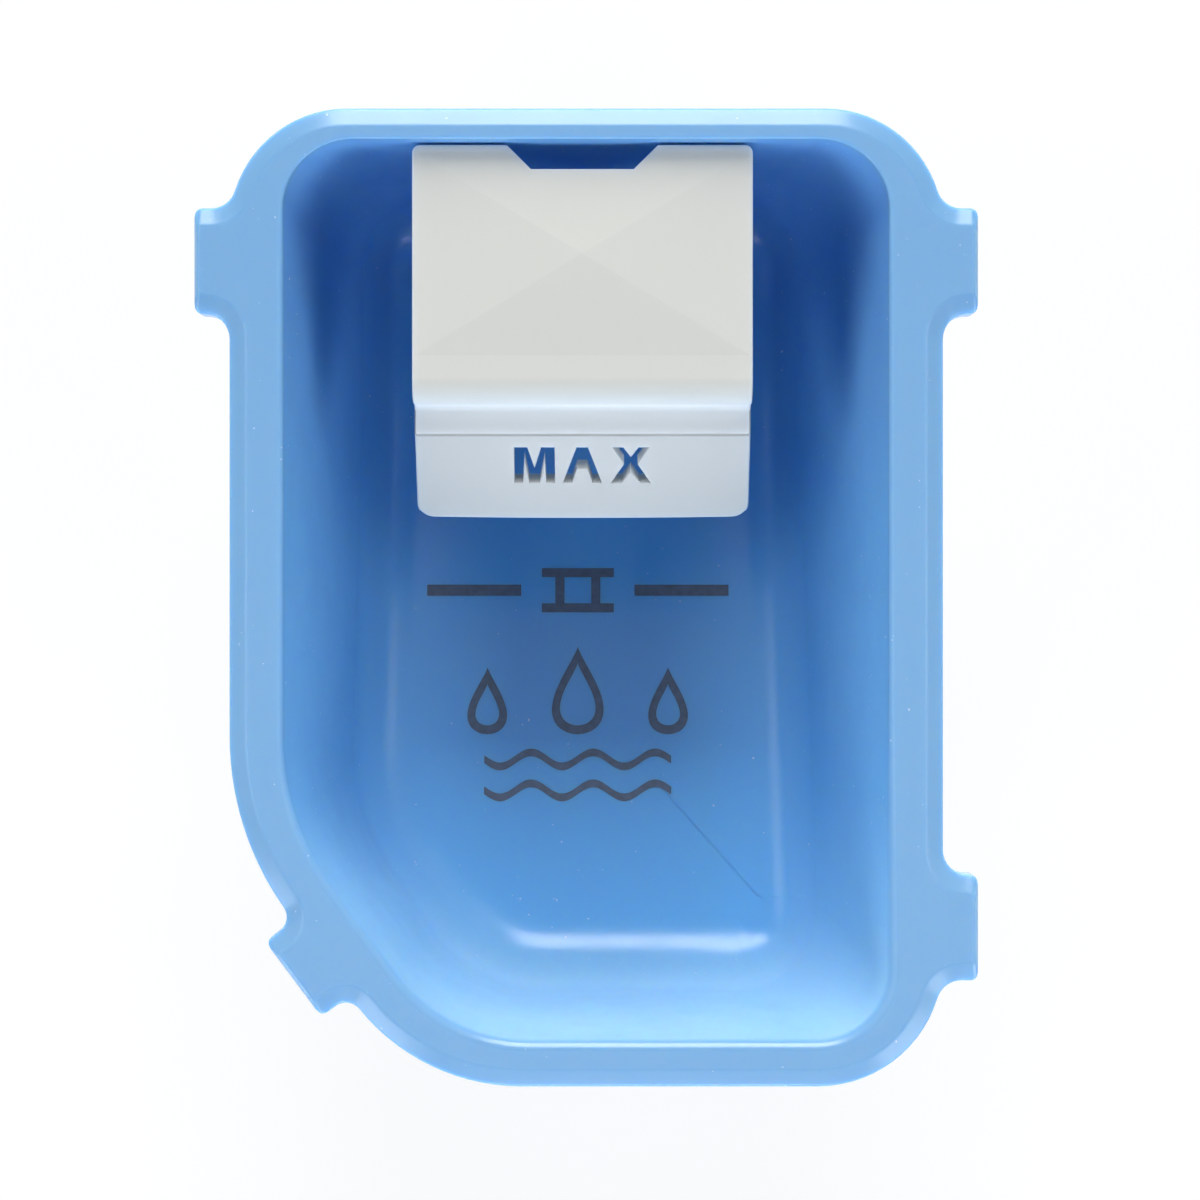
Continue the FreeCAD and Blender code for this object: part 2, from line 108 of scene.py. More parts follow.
TAB_WIDTH, CUT_TAB_WIDTH = 13.5, 12.0
TAB_ROOT, CUT_TAB_ROOT = 3.2, 2.2
TAB_END_ROUND, LEAST_ROUND = 0.9, 0.05
BACK_TAB_SETBACK, FRONT_TAB_SETBACK, CUT_TAB_SETBACK = 19.5, 20.3, 19.65
back_tab_y, front_tab_y = half_length - BACK_TAB_SETBACK, FRONT_TAB_SETBACK - half_length
cut_along = Vector((-NORMALS[CUT].y, NORMALS[CUT].x))
back_right_tab = Tab(RIGHT, Vector((half_width, back_tab_y)), TAB_WIDTH, TAB_ROOT, None, 0)
back_left_tab = Tab(LEFT, Vector((-half_width, back_tab_y)), TAB_WIDTH, TAB_ROOT, 1, None)
cut_tab = Tab(CUT, cut_start + cut_along * CUT_TAB_SETBACK, CUT_TAB_WIDTH, CUT_TAB_ROOT, 2, 3)
front_right_tab = Tab(RIGHT, Vector((half_width, front_tab_y)), TAB_WIDTH, TAB_ROOT, 4, None)

ROOT_STEPS, END_STEPS, END_FLAT = 8, 4, 6
TAB_POINTS = 2 * (ROOT_STEPS + END_STEPS + 1) + END_FLAT


def arc(middle, radius, start, end, steps):
    """Points on an arc, from its start to its end."""
    angles = [start + (end - start) * step / steps for step in range(steps + 1)]
    return [middle + Vector((math.cos(angle), math.sin(angle))) * radius for angle in angles]


def tab_axes(tab):
    """Directions along the tab's edge and out of it."""
    out = NORMALS[tab.side]
    return Vector((-out.y, out.x)), out


def root_circle(tab, sign):
    """Centre of a hollow curve beside the tab as (along, out), and the angle where it leaves the edge."""
    along, out = tab_axes(tab)
    neighbour = tab.before if sign < 0 else tab.after
    u = sign * (tab.width / 2 + tab.root)
    if neighbour is None:
        return Vector((u, tab.root)), -math.pi / 2 if sign < 0 else 1.5 * math.pi
    from_tab = corner_middle(rim_outline, neighbour) - tab.centre
    cu, cv = from_tab.dot(along), from_tab.dot(out)
    v = cv + math.sqrt((rim_outline.radii[neighbour] + tab.root) ** 2 - (u - cu) ** 2)
    angle = math.atan2(cv - v, cu - u)
    return Vector((u, v)), angle if sign < 0 else angle % (2 * math.pi)


def tab_stretch(tab, side_in, end_in):
    """Points of a tab, its sides moved in by side_in and its end by end_in; the last point is left off."""
    half, end = tab.width / 2 - side_in, TAB_REACH - end_in
    soft = max(LEAST_ROUND, TAB_END_ROUND - end_in)
    first, leave = root_circle(tab, -1)
    last, arrive = root_circle(tab, 1)
    points = arc(first, tab.root + side_in, leave, 0, ROOT_STEPS)
    points += arc(Vector((soft - half, end - soft)), soft, math.pi, math.pi / 2, END_STEPS)
    flat = half - soft
    points += [Vector((flat * (2 * step / END_FLAT - 1), end)) for step in range(1, END_FLAT)]
    points += arc(Vector((half - soft, end - soft)), soft, math.pi / 2, 0, END_STEPS)
    points += arc(last, tab.root + side_in, math.pi, arrive, ROOT_STEPS)[:-1]
    along, out = tab_axes(tab)
    return [tab.centre + along * u + out * v for u, v in points]


def tangent_angle(tab, sign):
    """Where on the neighbouring corner arc the tab begins or ends, as an angle about that arc's centre."""
    along, out = tab_axes(tab)
    root = root_circle(tab, sign)[0]
    place = tab.centre + along * root.x + out * root.y
    from_middle = place - corner_middle(rim_outline, tab.before if sign < 0 else tab.after)
    return math.atan2(from_middle.y, from_middle.x) % (2 * math.pi)


print("points in a tab:", len(tab_stretch(cut_tab, 0, 0)), "planned:", TAB_POINTS)

# %% [markdown]
# ## Rings
# The whole cup is a stack of closed rings, one inside or above the other, like the contour lines of a map.
# If every ring has the same number of points in the same order, neighbouring rings join up in quads.
# The rings of the tub have no tabs. There the points of a tab lie on the straight edge that faces it, drawn
# together behind the tab: spread out evenly, they would fold the quads over at its flanks.

# %% One ring round an outline
SIDE_STEPS, CORNER_STEPS = 16, 14
GATHER_IN, GATHER_SHARE = 3.3, 0.2


def line(start, end, steps):
    """Points on a straight run, without its end."""
    return [start.lerp(end, step / steps) for step in range(steps)]


def facing_tab(tab, start, end):
    """Points on the straight run that faces a tab, drawn together behind it so that no face folds over."""
    reach = (end - start).length
    along = (end - start) / reach
    middle, behind = (tab.centre - start).dot(along), tab.width / 2 - GATHER_IN
    first = start + along * max(middle - behind, GATHER_SHARE * reach)
    last = start + along * min(middle + behind, (1 - GATHER_SHARE) * reach)
    return (line(start, first, ROOT_STEPS + 1) + line(first, last, TAB_POINTS - 2 * ROOT_STEPS - 1)
            + line(last, end, ROOT_STEPS))


def ring(outline, tabs=None):
    """Points round an outline, anticlockwise from the right side; tabs gives (side_in, end_in)."""
    middles = [corner_middle(outline, corner) for corner in range(5)]
    spans = [list(span) for span in zip(SIDE_ANGLES, SIDE_ANGLES[1:] + [2 * math.pi])]
    if tabs:
        spans[0][0], spans[1][1] = tangent_angle(back_right_tab, 1), tangent_angle(back_left_tab, -1)
        spans[2][1], spans[3][0] = tangent_angle(cut_tab, -1), tangent_angle(cut_tab, 1)
        spans[4][1] = tangent_angle(front_right_tab, -1)
        if spans[0][0] > math.pi:
            spans[0][0] -= 2 * math.pi
    arcs = [arc(middles[c], outline.radii[c], *spans[c], CORNER_STEPS) for c in range(5)]
    x_right, x_left = outline.distances[RIGHT], -outline.distances[LEFT]
    reach = TAB_WIDTH / 2 + TAB_ROOT
    front_end = Vector((x_right, front_right_tab.centre.y + reach))
    back_start = Vector((x_right, back_right_tab.centre.y - reach))
    left_start = Vector((x_left, back_left_tab.centre.y - reach))

    def tab_or_line(tab, start, end):
        return tab_stretch(tab, *tabs) if tabs else facing_tab(tab, start, end)

    return (line(front_end, back_start, SIDE_STEPS)
            + tab_or_line(back_right_tab, back_start, arcs[0][0]) + arcs[0][:-1]
            + line(arcs[0][-1], arcs[1][0], SIDE_STEPS) + arcs[1][:-1]
            + tab_or_line(back_left_tab, arcs[1][-1], left_start)
            + line(left_start, arcs[2][0], SIDE_STEPS) + arcs[2][:-1]
            + tab_or_line(cut_tab, arcs[2][-1], arcs[3][0]) + arcs[3][:-1]
            + line(arcs[3][-1], arcs[4][0], SIDE_STEPS) + arcs[4][:-1]
            + tab_or_line(front_right_tab, arcs[4][-1], front_end))


print("points in a ring:", len(ring(rim_outline)), "and with tabs:", len(ring(rim_outline, (0, 0))))

# %% [markdown]
# ## Walls and floor of the tub
# A moulding has to leave its mould, so each wall leans out towards the top. That lean is called draft.
# Between the top and the foot a wall is straight, so two rings are enough to know every point of it.
# The front right corner is wider at the foot than at the mouth, which leaves room for a large floor radius.
# The floor falls towards the siphon at the back and ends in a level sump, with a wide bend between the two.

# %% Draft of the walls and height of the floor
RIM_BANDS = [6.9, 4.05, 6.85, 6.7, 6.0]
DRAFTS = [9.1, 2.0, 7.2, 4.0, 2.8]
WALL, FLOOR = 1.6, 2.0
MOUTH_CORNER, FOOT_WIDER = 9.0, 3.0
mouth_outline = Outline([d - band for d, band in zip(rim_outline.distances, RIM_BANDS)],
                        [MOUTH_CORNER, MOUTH_CORNER, RIM_CORNERS[LEFT] - RIM_BANDS[LEFT],
                         RIM_CORNERS[CUT] - RIM_BANDS[FRONT], MOUTH_CORNER])
FLOOR_FALL, BEND_R, SUMP_LENGTH = math.radians(9), 60.0, 34.0


def wall_reach(side, z):
    return mouth_outline.distances[side] - (RIM_TOP - z) * math.tan(math.radians(DRAFTS[side]))


def tub_rings(skin):
    """The ring at the rim's height and the one at the standing level; skin moves both out."""
    rings = []
    for z, wider in ((RIM_TOP, 0), (0, FOOT_WIDER)):
        radii = mouth_outline.radii[:FRONT] + [mouth_outline.radii[FRONT] + wider]
        outline = Outline([wall_reach(side, z) for side in range(5)], radii)
        rings.append([Vector((p.x, p.y, z)) for p in ring(moved_in(outline, -skin))])
    return rings


bend_start = wall_reach(BACK, FLOOR) - SUMP_LENGTH + BEND_R * math.tan(FLOOR_FALL / 2)
bend_end = bend_start - BEND_R * math.sin(FLOOR_FALL)


def floor_height(y):
    if y >= bend_start:
        return FLOOR
    if y > bend_end:
        return FLOOR + BEND_R - math.sqrt(BEND_R ** 2 - (bend_start - y) ** 2)
    return FLOOR + BEND_R * (1 - math.cos(FLOOR_FALL)) + (bend_end - y) * math.tan(FLOOR_FALL)


def floor_slope(y):
    fall = math.asin(min(1, max(0, (bend_start - y) / BEND_R)))
    return -math.tan(min(FLOOR_FALL, fall))


print("floor height at back, middle and front:", [round(floor_height(y), 2) for y in (40, 0, -50)])

# %% [markdown]
# ## Rounded joints
# Where two faces of a moulding meet there is always a radius, or the plastic would crack there.
# A bevel modifier could round a finished mesh, but it has trouble where many edges meet.
# Here each ring point knows the two directions that leave its corner, and an arc is put between them.

# %% An arc between two directions
def round_between(corner, first, second, radius, steps):
    """Points from the first direction round to the second."""
    first, second = first.normalized(), second.normalized()
    half = first.angle(second) / 2
    middle = corner + (first + second).normalized() * (radius / math.sin(half))
    start = (corner + first * (radius / math.tan(half)) - middle).normalized()
    end = (corner + second * (radius / math.tan(half)) - middle).normalized()
    return [middle + start.slerp(end, step / steps) * radius for step in range(steps + 1)]


def inward(points):
    """Level direction to the inside at each point of a ring."""
    found = []
    for index in range(len(points)):
        along = points[(index + 1) % len(points)] - points[index - 1]
        found.append(Vector((-along.y, along.x, 0)).normalized())
    return found


def wall_foot(top, foot, drop):
    """Point of a wall line where it meets the floor, or the floor moved down by drop."""
    z = FLOOR
    for _ in range(8):
        z = floor_height(foot.lerp(top, z / RIM_TOP).y) - drop
    return foot.lerp(top, z / RIM_TOP)


def floor_direction(point, inside):
    return Vector((inside.x, inside.y, floor_slope(point.y) * inside.y))


corner_test = round_between(Vector((0, 0, 0)), Vector((1, 0, 0)), Vector((0, 0, 1)), 2, 2)
print("a 2 mm radius starts", round(corner_test[0].x, 3), "mm from its corner")

# %% [markdown]
# ## The inside of the tub
# The inside runs from the middle of the floor out to its edge, through a generous radius up the wall and
# over a small radius onto the rim. Both radii change on the way round: the mouth is crisp at the back and
# softer at the front, and the floor's radius grows along the front wall, where a line of light lies in it.
# The floor rings shrink towards one point on the slope and are closed with one face.

# %% Rings of the inside
FLOOR_RADIUS, FRONT_EXTRA = 8.0, 3.5
MOUTH_RADIUS, MOUTH_FRONT, MOUTH_BACK = 0.9, 1.5, 0.4
FLOOR_STEPS, MOUTH_STEPS, WALL_RINGS = 10, 6, 6
FLOOR_SHARES = (0.03, 0.2, 0.4, 0.6, 0.8, 0.92)
floor_middle = Vector((-0.5, -15.0, 0))
inside_top, inside_foot = tub_rings(0)
inside_directions = inward(inside_top)


def progress(value, start, end):
    """Share of the way from a start to an end, kept between 0 and 1."""
    return min(1, max(0, (value - start) / (end - start)))


def mouth_radius(y):
    """Radius between the tub and the rim: one for the front, one for the sides and one for the back."""
    front, back = progress(y, -15, -40), progress(y, 40, 55)
    return MOUTH_RADIUS + (MOUTH_FRONT - MOUTH_RADIUS) * front + (MOUTH_BACK - MOUTH_RADIUS) * back


def floor_radius(point):
    """Radius between the floor and the wall, which grows along the front wall up to the right corner."""
    return FLOOR_RADIUS + FRONT_EXTRA * progress(point.y, -38, -50) * progress(point.x, 29, 24)


def columns_to_rings(columns):
    """Turns a list of points for each place round the cup into a list of rings."""
    return [list(points) for points in zip(*columns)]


def floor_rings(edge, drop):
    """Rings from near the middle of the floor to its edge."""
    found = []
    for share in FLOOR_SHARES:
        points = [floor_middle.lerp(point, share) for point in edge]
        found.append([Vector((p.x, p.y, floor_height(p.y) - drop)) for p in points])
    return found


floor_joint, mouth_joint = [], []
for top, foot, inside in zip(inside_top, inside_foot, inside_directions):
    corner = wall_foot(top, foot, 0)
    up = top - foot
    floor_joint.append(round_between(corner, floor_direction(corner, inside), up,
                                     floor_radius(corner), FLOOR_STEPS))
    mouth_joint.append(round_between(top, -up, -inside, mouth_radius(top.y), MOUTH_STEPS))
joint_rings, mouth_rings = columns_to_rings(floor_joint), columns_to_rings(mouth_joint)


def rings_between(first, last, count):
    return [[a.lerp(b, step / (count + 1)) for a, b in zip(first, last)] for step in range(1, count + 1)]


inside_rings = (floor_rings(joint_rings[0], 0) + joint_rings
                + rings_between(joint_rings[-1], mouth_rings[0], WALL_RINGS) + mouth_rings)
print("rings of the inside:", len(inside_rings))

# %% [markdown]
# ## The rim
# The rim is a hollow channel: a flat top, a sloping outer edge, a skirt that hangs down and the same faces
# inside. Its section is a bent line: each bend has a distance from the outer edge, a height and a radius.
# The radii matter, because a light line along the slope is the first thing one sees on the real cup.
# The ends of the tabs have no slope, only a round edge, so an end moves in by its own amount.

# %% Section of the rim
BEVEL, BEVEL_DROP, RIM_HEIGHT, RIM_SKIN, SKIRT_SKIN = 2.35, 1.1, 6.0, 1.6, 1.4
rim_foot, under_top = RIM_TOP - RIM_HEIGHT, RIM_TOP - RIM_SKIN
inner_bevel, inner_drop = BEVEL - SKIRT_SKIN / 2, BEVEL_DROP * (1 - SKIRT_SKIN / BEVEL / 2)
BEND_STEPS, BEND_SHARE, LEAD, TOP_RINGS = 4, 0.45, 2.0, 2
channel_end = SKIRT_SKIN + inner_bevel
rim_bends = [(BEVEL, RIM_TOP, 1.6), (0, RIM_TOP - BEVEL_DROP, 0.7),
             (0, rim_foot, 0.3), (SKIRT_SKIN, rim_foot, 0.3),
             (SKIRT_SKIN, under_top - inner_drop, 0.5), (channel_end, under_top, 0.5)]


def rounded_section(bends, start, end):
    """Points of a bent line whose bends are rounded; start and end only give directions."""
    places = [Vector((start[0], 0, start[1]))] + [Vector((s, 0, z)) for s, z, _ in bends]
    places.append(Vector((end[0], 0, end[1])))
    points = []
    for index, (_, _, radius) in enumerate(bends, 1):
        here = places[index]
        before, after = places[index - 1] - here, places[index + 1] - here
        tangent = min(before.length, after.length) * BEND_SHARE
        radius = min(radius, tangent * math.tan(before.angle(after) / 2))
        points += round_between(here, before, after, radius, BEND_STEPS)
    return [(p.x, p.z) for p in points]


def end_moved_in(side_in, z, outside):
    """How far a tab's end is moved in where the section is at side_in and z."""
    if not outside:
        return min(side_in, SKIRT_SKIN)
    over = z - (RIM_TOP - TAB_END_ROUND)
    return TAB_END_ROUND - math.sqrt(max(0, TAB_END_ROUND ** 2 - over ** 2)) if over > 0 else 0


rim_rings = []
section = rounded_section(rim_bends, (BEVEL + LEAD, RIM_TOP), (channel_end + LEAD, under_top))
for index, (side_in, z) in enumerate(section):
    end_in = end_moved_in(side_in, z, outside=index < 2 * (BEND_STEPS + 1))
    points = ring(moved_in(rim_outline, side_in), (side_in, end_in))
    rim_rings.append([Vector((p.x, p.y, z)) for p in points])
top_rings = rings_between(inside_rings[-1], rim_rings[0], TOP_RINGS)
print("rings of the rim:", len(rim_rings))

# %% [markdown]
# ## The outside of the tub
# Under the rim the outer wall follows the inner one at the thickness of the moulding, and the floor does so
# too. Then all rings are put in one list, from the middle of the floor to the middle of the underside, and
# each pair of neighbours is joined by a band of quads.

# %% Rings of the outside, and the shell
outside_top, outside_foot = tub_rings(WALL)
outside_joint, outside_head = [], []
for top, foot, inside in zip(outside_top, outside_foot, inward(outside_top)):
    corner = wall_foot(top, foot, FLOOR)
    outside_joint.append(round_between(corner, top - foot, floor_direction(corner, inside),
                                       FLOOR_RADIUS + WALL, FLOOR_STEPS))
    outside_head.append(foot.lerp(top, under_top / RIM_TOP))
outside_rings = columns_to_rings(outside_joint)
underside = floor_rings(outside_rings[-1], FLOOR)[::-1]
cup_rings = (inside_rings + top_rings + rim_rings + [outside_head]
             + rings_between(outside_head, outside_rings[0], WALL_RINGS) + outside_rings + underside)


def mesh_piece(name, points, faces):
    """A new object from points in millimetres."""
    mesh = bpy.data.meshes.new(name)
    mesh.from_pydata([Vector(point) * MM for point in points], [], faces)
    mesh.validate()
    piece = bpy.data.objects.new(name, mesh)
    bpy.context.scene.collection.objects.link(piece)
    return piece


def shell_of_rings(name, rings):
    """Joins neighbouring rings in quads and closes the first and the last ring."""
    count = len(rings[0])
    faces = [list(range(count)), [len(rings) * count - 1 - index for index in range(count)]]
    for low in range(len(rings) - 1):
        for index in range(count):
            after = (index + 1) % count
            a, b = low * count, (low + 1) * count
            faces.append([a + index, b + index, b + after, a + after])
    return mesh_piece(name, [point for points in rings for point in points], faces)


cup = shell_of_rings("cup_moulding", cup_rings)
print("cup shell:", len(cup.data.vertices), "points,", len(cup.data.polygons), "faces")

# %% [markdown]
# ## Standpipe and ribs
# A siphon empties the cup: a pipe stands in the sump, open at the top, and its bore leads out through the
# floor. Two ribs under the sloping floor let the cup stand level on a table.
# These are plain solids that run into the shell, so a boolean union is right: it cuts the shell open where
# they enter.

# %% Solids that join the shell
def turned(name, section, middle, steps=64):
    """A closed section of (radius, height) turned about an upright line."""
    points, count = [], len(section)
    for step in range(steps):
        angle = 2 * math.pi * step / steps
        points += [Vector((middle.x + r * math.cos(angle), middle.y + r * math.sin(angle), z))
                   for r, z in section]
    faces = []
    for step in range(steps):
        a, b = step * count, (step + 1) % steps * count
        faces += [[a + i, b + i, b + (i + 1) % count, a + (i + 1) % count] for i in range(count)]
    return mesh_piece(name, points, faces)


def prism(name, outline, sweep):
    """A flat outline swept along a direction."""
    count = len(outline)
    points = [Vector(point) for point in outline]
    points += [point + sweep for point in points]
    faces = [list(range(count))[::-1], list(range(count, 2 * count))]
    faces += [[i, (i + 1) % count, count + (i + 1) % count, count + i] for i in range(count)]
    piece = mesh_piece(name, points, faces)
    work = bmesh.new()
    work.from_mesh(piece.data)
    bmesh.ops.recalc_face_normals(work, faces=work.faces)
    work.to_mesh(piece.data)
    work.free()
    return piece


def keep_result(piece):
    """Makes the outcome of a piece's modifiers its own mesh."""
    old = piece.data
    piece.data = bpy.data.meshes.new_from_object(piece.evaluated_get(bpy.context.evaluated_depsgraph_get()))
    piece.modifiers.clear()
    bpy.data.meshes.remove(old)


def combine(piece, tool, operation):
    """Unites a piece with a solid, or takes the solid away from it."""
    step = piece.modifiers.new(tool.name, "BOOLEAN")
    step.operation, step.solver, step.object = operation, "EXACT", tool
    bpy.context.view_layer.update()
    keep_result(piece)
    bpy.data.objects.remove(tool)


insert_low, insert_high = (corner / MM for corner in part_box("siphon_insert"))
BORE_R, PIPE_SKIN, CREST_DROP, PIPE_CHAMFER = 3.5, 1.5, 13.5, 0.5
NEAR_AXIS = 0.01
BELL_GAP, BELL_SKIN, BELL_TO_FILLET = 2.2, 1.4, 0.6
pipe_r = BORE_R + PIPE_SKIN
bell_bore_r = pipe_r + BELL_GAP
bell_r = bell_bore_r + BELL_SKIN
pipe_top = RIM_TOP - CREST_DROP
siphon = Vector(((insert_low.x + insert_high.x) / 2,
                 wall_reach(BACK, FLOOR) - FLOOR_RADIUS - bell_r - BELL_TO_FILLET, 0))
pipe_section = [(NEAR_AXIS, FLOOR / 2), (pipe_r, FLOOR / 2), (pipe_r, pipe_top - PIPE_CHAMFER),
                (pipe_r - PIPE_CHAMFER, pipe_top), (NEAR_AXIS, pipe_top)]
bore_section = [(NEAR_AXIS, -1), (BORE_R, -1), (BORE_R, RIM_TOP), (NEAR_AXIS, RIM_TOP)]
combine(cup, turned("standpipe", pipe_section, siphon), "UNION")
combine(cup, turned("bore", bore_section, siphon), "DIFFERENCE")

RIB_SKIN, RIB_SPACING, RIB_SETBACK, RIB_CORNER = 1.6, 34.0, 6.0, 4.0
rib_front = RIB_SETBACK - wall_reach(FRONT, FLOOR)
rib_back = wall_reach(BACK, FLOOR) - SUMP_LENGTH
for rib_x in (-RIB_SPACING / 2, RIB_SPACING / 2):
    left = rib_x - RIB_SKIN / 2
    outline = [(left, rib_back, 0), (left, rib_front + RIB_CORNER, 0), (left, rib_front, RIB_CORNER),
               (left, rib_front, floor_height(rib_front) - FLOOR / 2), (left, rib_back, FLOOR / 2)]
    combine(cup, prism("rib", outline, Vector((RIB_SKIN, 0, 0))), "UNION")
print("cup with standpipe and ribs:", len(cup.data.polygons), "faces")

# %% [markdown]
# ## The hood of the insert
# The insert covers the siphon with a hood: a top that rises a little to a point in the middle, a step,
# a narrow ledge and a flap that slopes down to the fill limit. All of it is one bent plate.
# Its section is swept across the width, and the bevel tool rounds each bend by its own radius.

# %% Section of the hood, swept and rounded
HOOD_CROWN, HOOD_SKIN, HOOD_LENGTH = 0.7, 2.0, 33.1
HOOD_BEND_R, HOOD_CORNER_R, STEP_INNER_R, SAME_PLACE = 3.2, 1.0, 0.8, 0.01
STEP_DROP, LEDGE_LENGTH, LEDGE_LIP = 8.6, 3.8, 0.6
FLAP_TILT, FLAP_LENGTH, FLAP_SKIN, FLAP_CORNER_R = math.radians(32), 12.6, 2.6, 2.2
hood_left, hood_right, hood_back = insert_low.x, insert_high.x, insert_high.y
hood_z, step_z = insert_high.z - HOOD_CROWN, RIM_TOP - STEP_DROP
hood_front = hood_back - HOOD_LENGTH
flap_down = Vector((0, -math.cos(FLAP_TILT), -math.sin(FLAP_TILT)))
flap_in = Vector((0, math.sin(FLAP_TILT), -math.cos(FLAP_TILT)))
flap_top = Vector((siphon.x, hood_front - LEDGE_LENGTH, step_z - LEDGE_LIP))
flap_end = flap_top + flap_down * FLAP_LENGTH
flap_under = flap_end + flap_in * FLAP_SKIN
ledge_under = step_z - HOOD_SKIN
meet = flap_under - flap_down * ((flap_under.z - ledge_under) / flap_down.z)
hood_section = [(hood_back, hood_z), (hood_front, hood_z), (hood_front, step_z), (flap_top.y, step_z),
                (flap_top.y, flap_top.z), (flap_end.y, flap_end.z), (flap_under.y, flap_under.z),
                (meet.y, meet.z), (hood_front + HOOD_SKIN, ledge_under),
                (hood_front + HOOD_SKIN, hood_z - HOOD_SKIN), (hood_back, hood_z - HOOD_SKIN)]
insert = prism("insert_moulding", [(hood_left, y, z) for y, z in hood_section],
               Vector((hood_right - hood_left, 0, 0)))


def round_edges(work, y, z, radius, steps):
    """Rounds the edges whose middle is at (y, z), across the plate or at its two sides."""
    middles = {edge: (edge.verts[0].co + edge.verts[1].co) / 2 / MM for edge in work.edges}
    found = [edge for edge, middle in middles.items() if (middle.yz - Vector((y, z))).length < SAME_PLACE]
    bmesh.ops.bevel(work, geom=found, offset=radius * MM, offset_type="OFFSET", segments=steps,
                    profile=0.5, affect="EDGES")


plate = bmesh.new()
plate.from_mesh(insert.data)
round_edges(plate, hood_front, hood_z, HOOD_BEND_R, 12)
round_edges(plate, hood_front, step_z, STEP_INNER_R, 5)
round_edges(plate, *((flap_end + flap_under) / 2).yz, FLAP_CORNER_R, 10)
round_edges(plate, hood_back, hood_z - HOOD_SKIN / 2, HOOD_CORNER_R, 6)
print("hood plate:", len(plate.faces), "faces")

# %% [markdown]
# ## Crown, soft edges and the bow of the flap
# The top of the hood is four very flat triangles that rise to a point: a poked face does exactly that.
# A thin bevel on all the remaining sharp edges makes the plate look moulded and not cut from card.
# The lower edge of the flap sags a little in the middle, as thin mouldings do when they cool.

# %% Finish of the plate
SOFT_EDGE, FLAP_BOW, BOWED_END, CROWN_SETBACK = 0.28, 0.25, 1.0, 6.1
SHARP_ANGLE = math.radians(25)


def cut_along_plane(work, place, normal):
    """Cuts new edges into a mesh where a plane through a place meets it."""
    bmesh.ops.bisect_plane(work, geom=work.verts[:] + work.edges[:] + work.faces[:], dist=1e-7,
                           plane_co=Vector(place) * MM, plane_no=normal)


def on_hood_top(face):
    return face.normal.z > 0.999 and abs(face.calc_center_median().z / MM - hood_z) < SAME_PLACE


sharp = [edge for edge in plate.edges
         if len(edge.link_faces) == 2 and edge.calc_face_angle() > SHARP_ANGLE]
bmesh.ops.bevel(plate, geom=sharp, offset=SOFT_EDGE * MM, offset_type="OFFSET", segments=3, profile=0.5,
                affect="EDGES", clamp_overlap=True)
for crown_end in (hood_back - HOOD_CORNER_R, hood_front + CROWN_SETBACK):
    cut_along_plane(plate, (0, crown_end, 0), (0, 1, 0))
crown_face = max(filter(on_hood_top, plate.faces), key=lambda face: face.calc_area())
poked = bmesh.ops.poke(plate, faces=[crown_face], center_mode="BOUNDS")
poked["verts"][0].co.z += HOOD_CROWN * MM
half_hood = (hood_right - hood_left) / 2
for tenths in range(-8, 9, 2):
    cut_along_plane(plate, (siphon.x + tenths / 10 * half_hood, 0, 0), (1, 0, 0))
for vert in plate.verts:
    along = (vert.co / MM - flap_top).dot(flap_down)
    if along > FLAP_LENGTH - BOWED_END and vert.co.y / MM < flap_top.y:
        share = (vert.co.x / MM - siphon.x) / half_hood
        vert.co += flap_down * (FLAP_BOW * (1 - share ** 2) - FLAP_BOW) * MM
plate.to_mesh(insert.data)
plate.free()
print("finished plate:", len(insert.data.polygons), "faces")

# %% [markdown]
# ## Bell, cheeks and notch
# Under the hood a tube, the bell, drops over the standpipe. Liquid enters through four slots at its foot and
# rises between the tube and the pipe. Three ribs inside keep the bell upright, two cheeks stiffen the hood's
# sides, and a notch in the back edge gives a finger room to lift the insert out.
# They are plain solids again, so booleans add them or take them away.

# %% Solids of the insert
CHEEK_SKIN, CHEEK_DEPTH, CHEEK_SETBACK = 1.5, 6.0, 1.4
NOTCH_WIDTH, NOTCH_DEPTH = 13.2, 3.15
SLOT_WIDTH, SLOT_HEIGHT = 5.0, 3.0
GUIDE_COUNT, GUIDE_SKIN, GUIDE_LENGTH, GUIDE_CLEARANCE = 3, 1.2, 26.0, 0.3
inside_hood = hood_z - HOOD_SKIN / 2


def block(name, low, high):
    """A box between two corners."""
    (x0, y0, z0), (x1, y1, z1) = low, high
    return prism(name, [(x0, y0, z0), (x1, y0, z0), (x1, y1, z0), (x0, y1, z0)], Vector((0, 0, z1 - z0)))


for left in (hood_left, hood_right - CHEEK_SKIN):
    combine(insert, block("cheek", (left, hood_front + HOOD_SKIN / 2, hood_z - CHEEK_DEPTH),
                          (left + CHEEK_SKIN, hood_back - CHEEK_SETBACK, inside_hood)), "UNION")

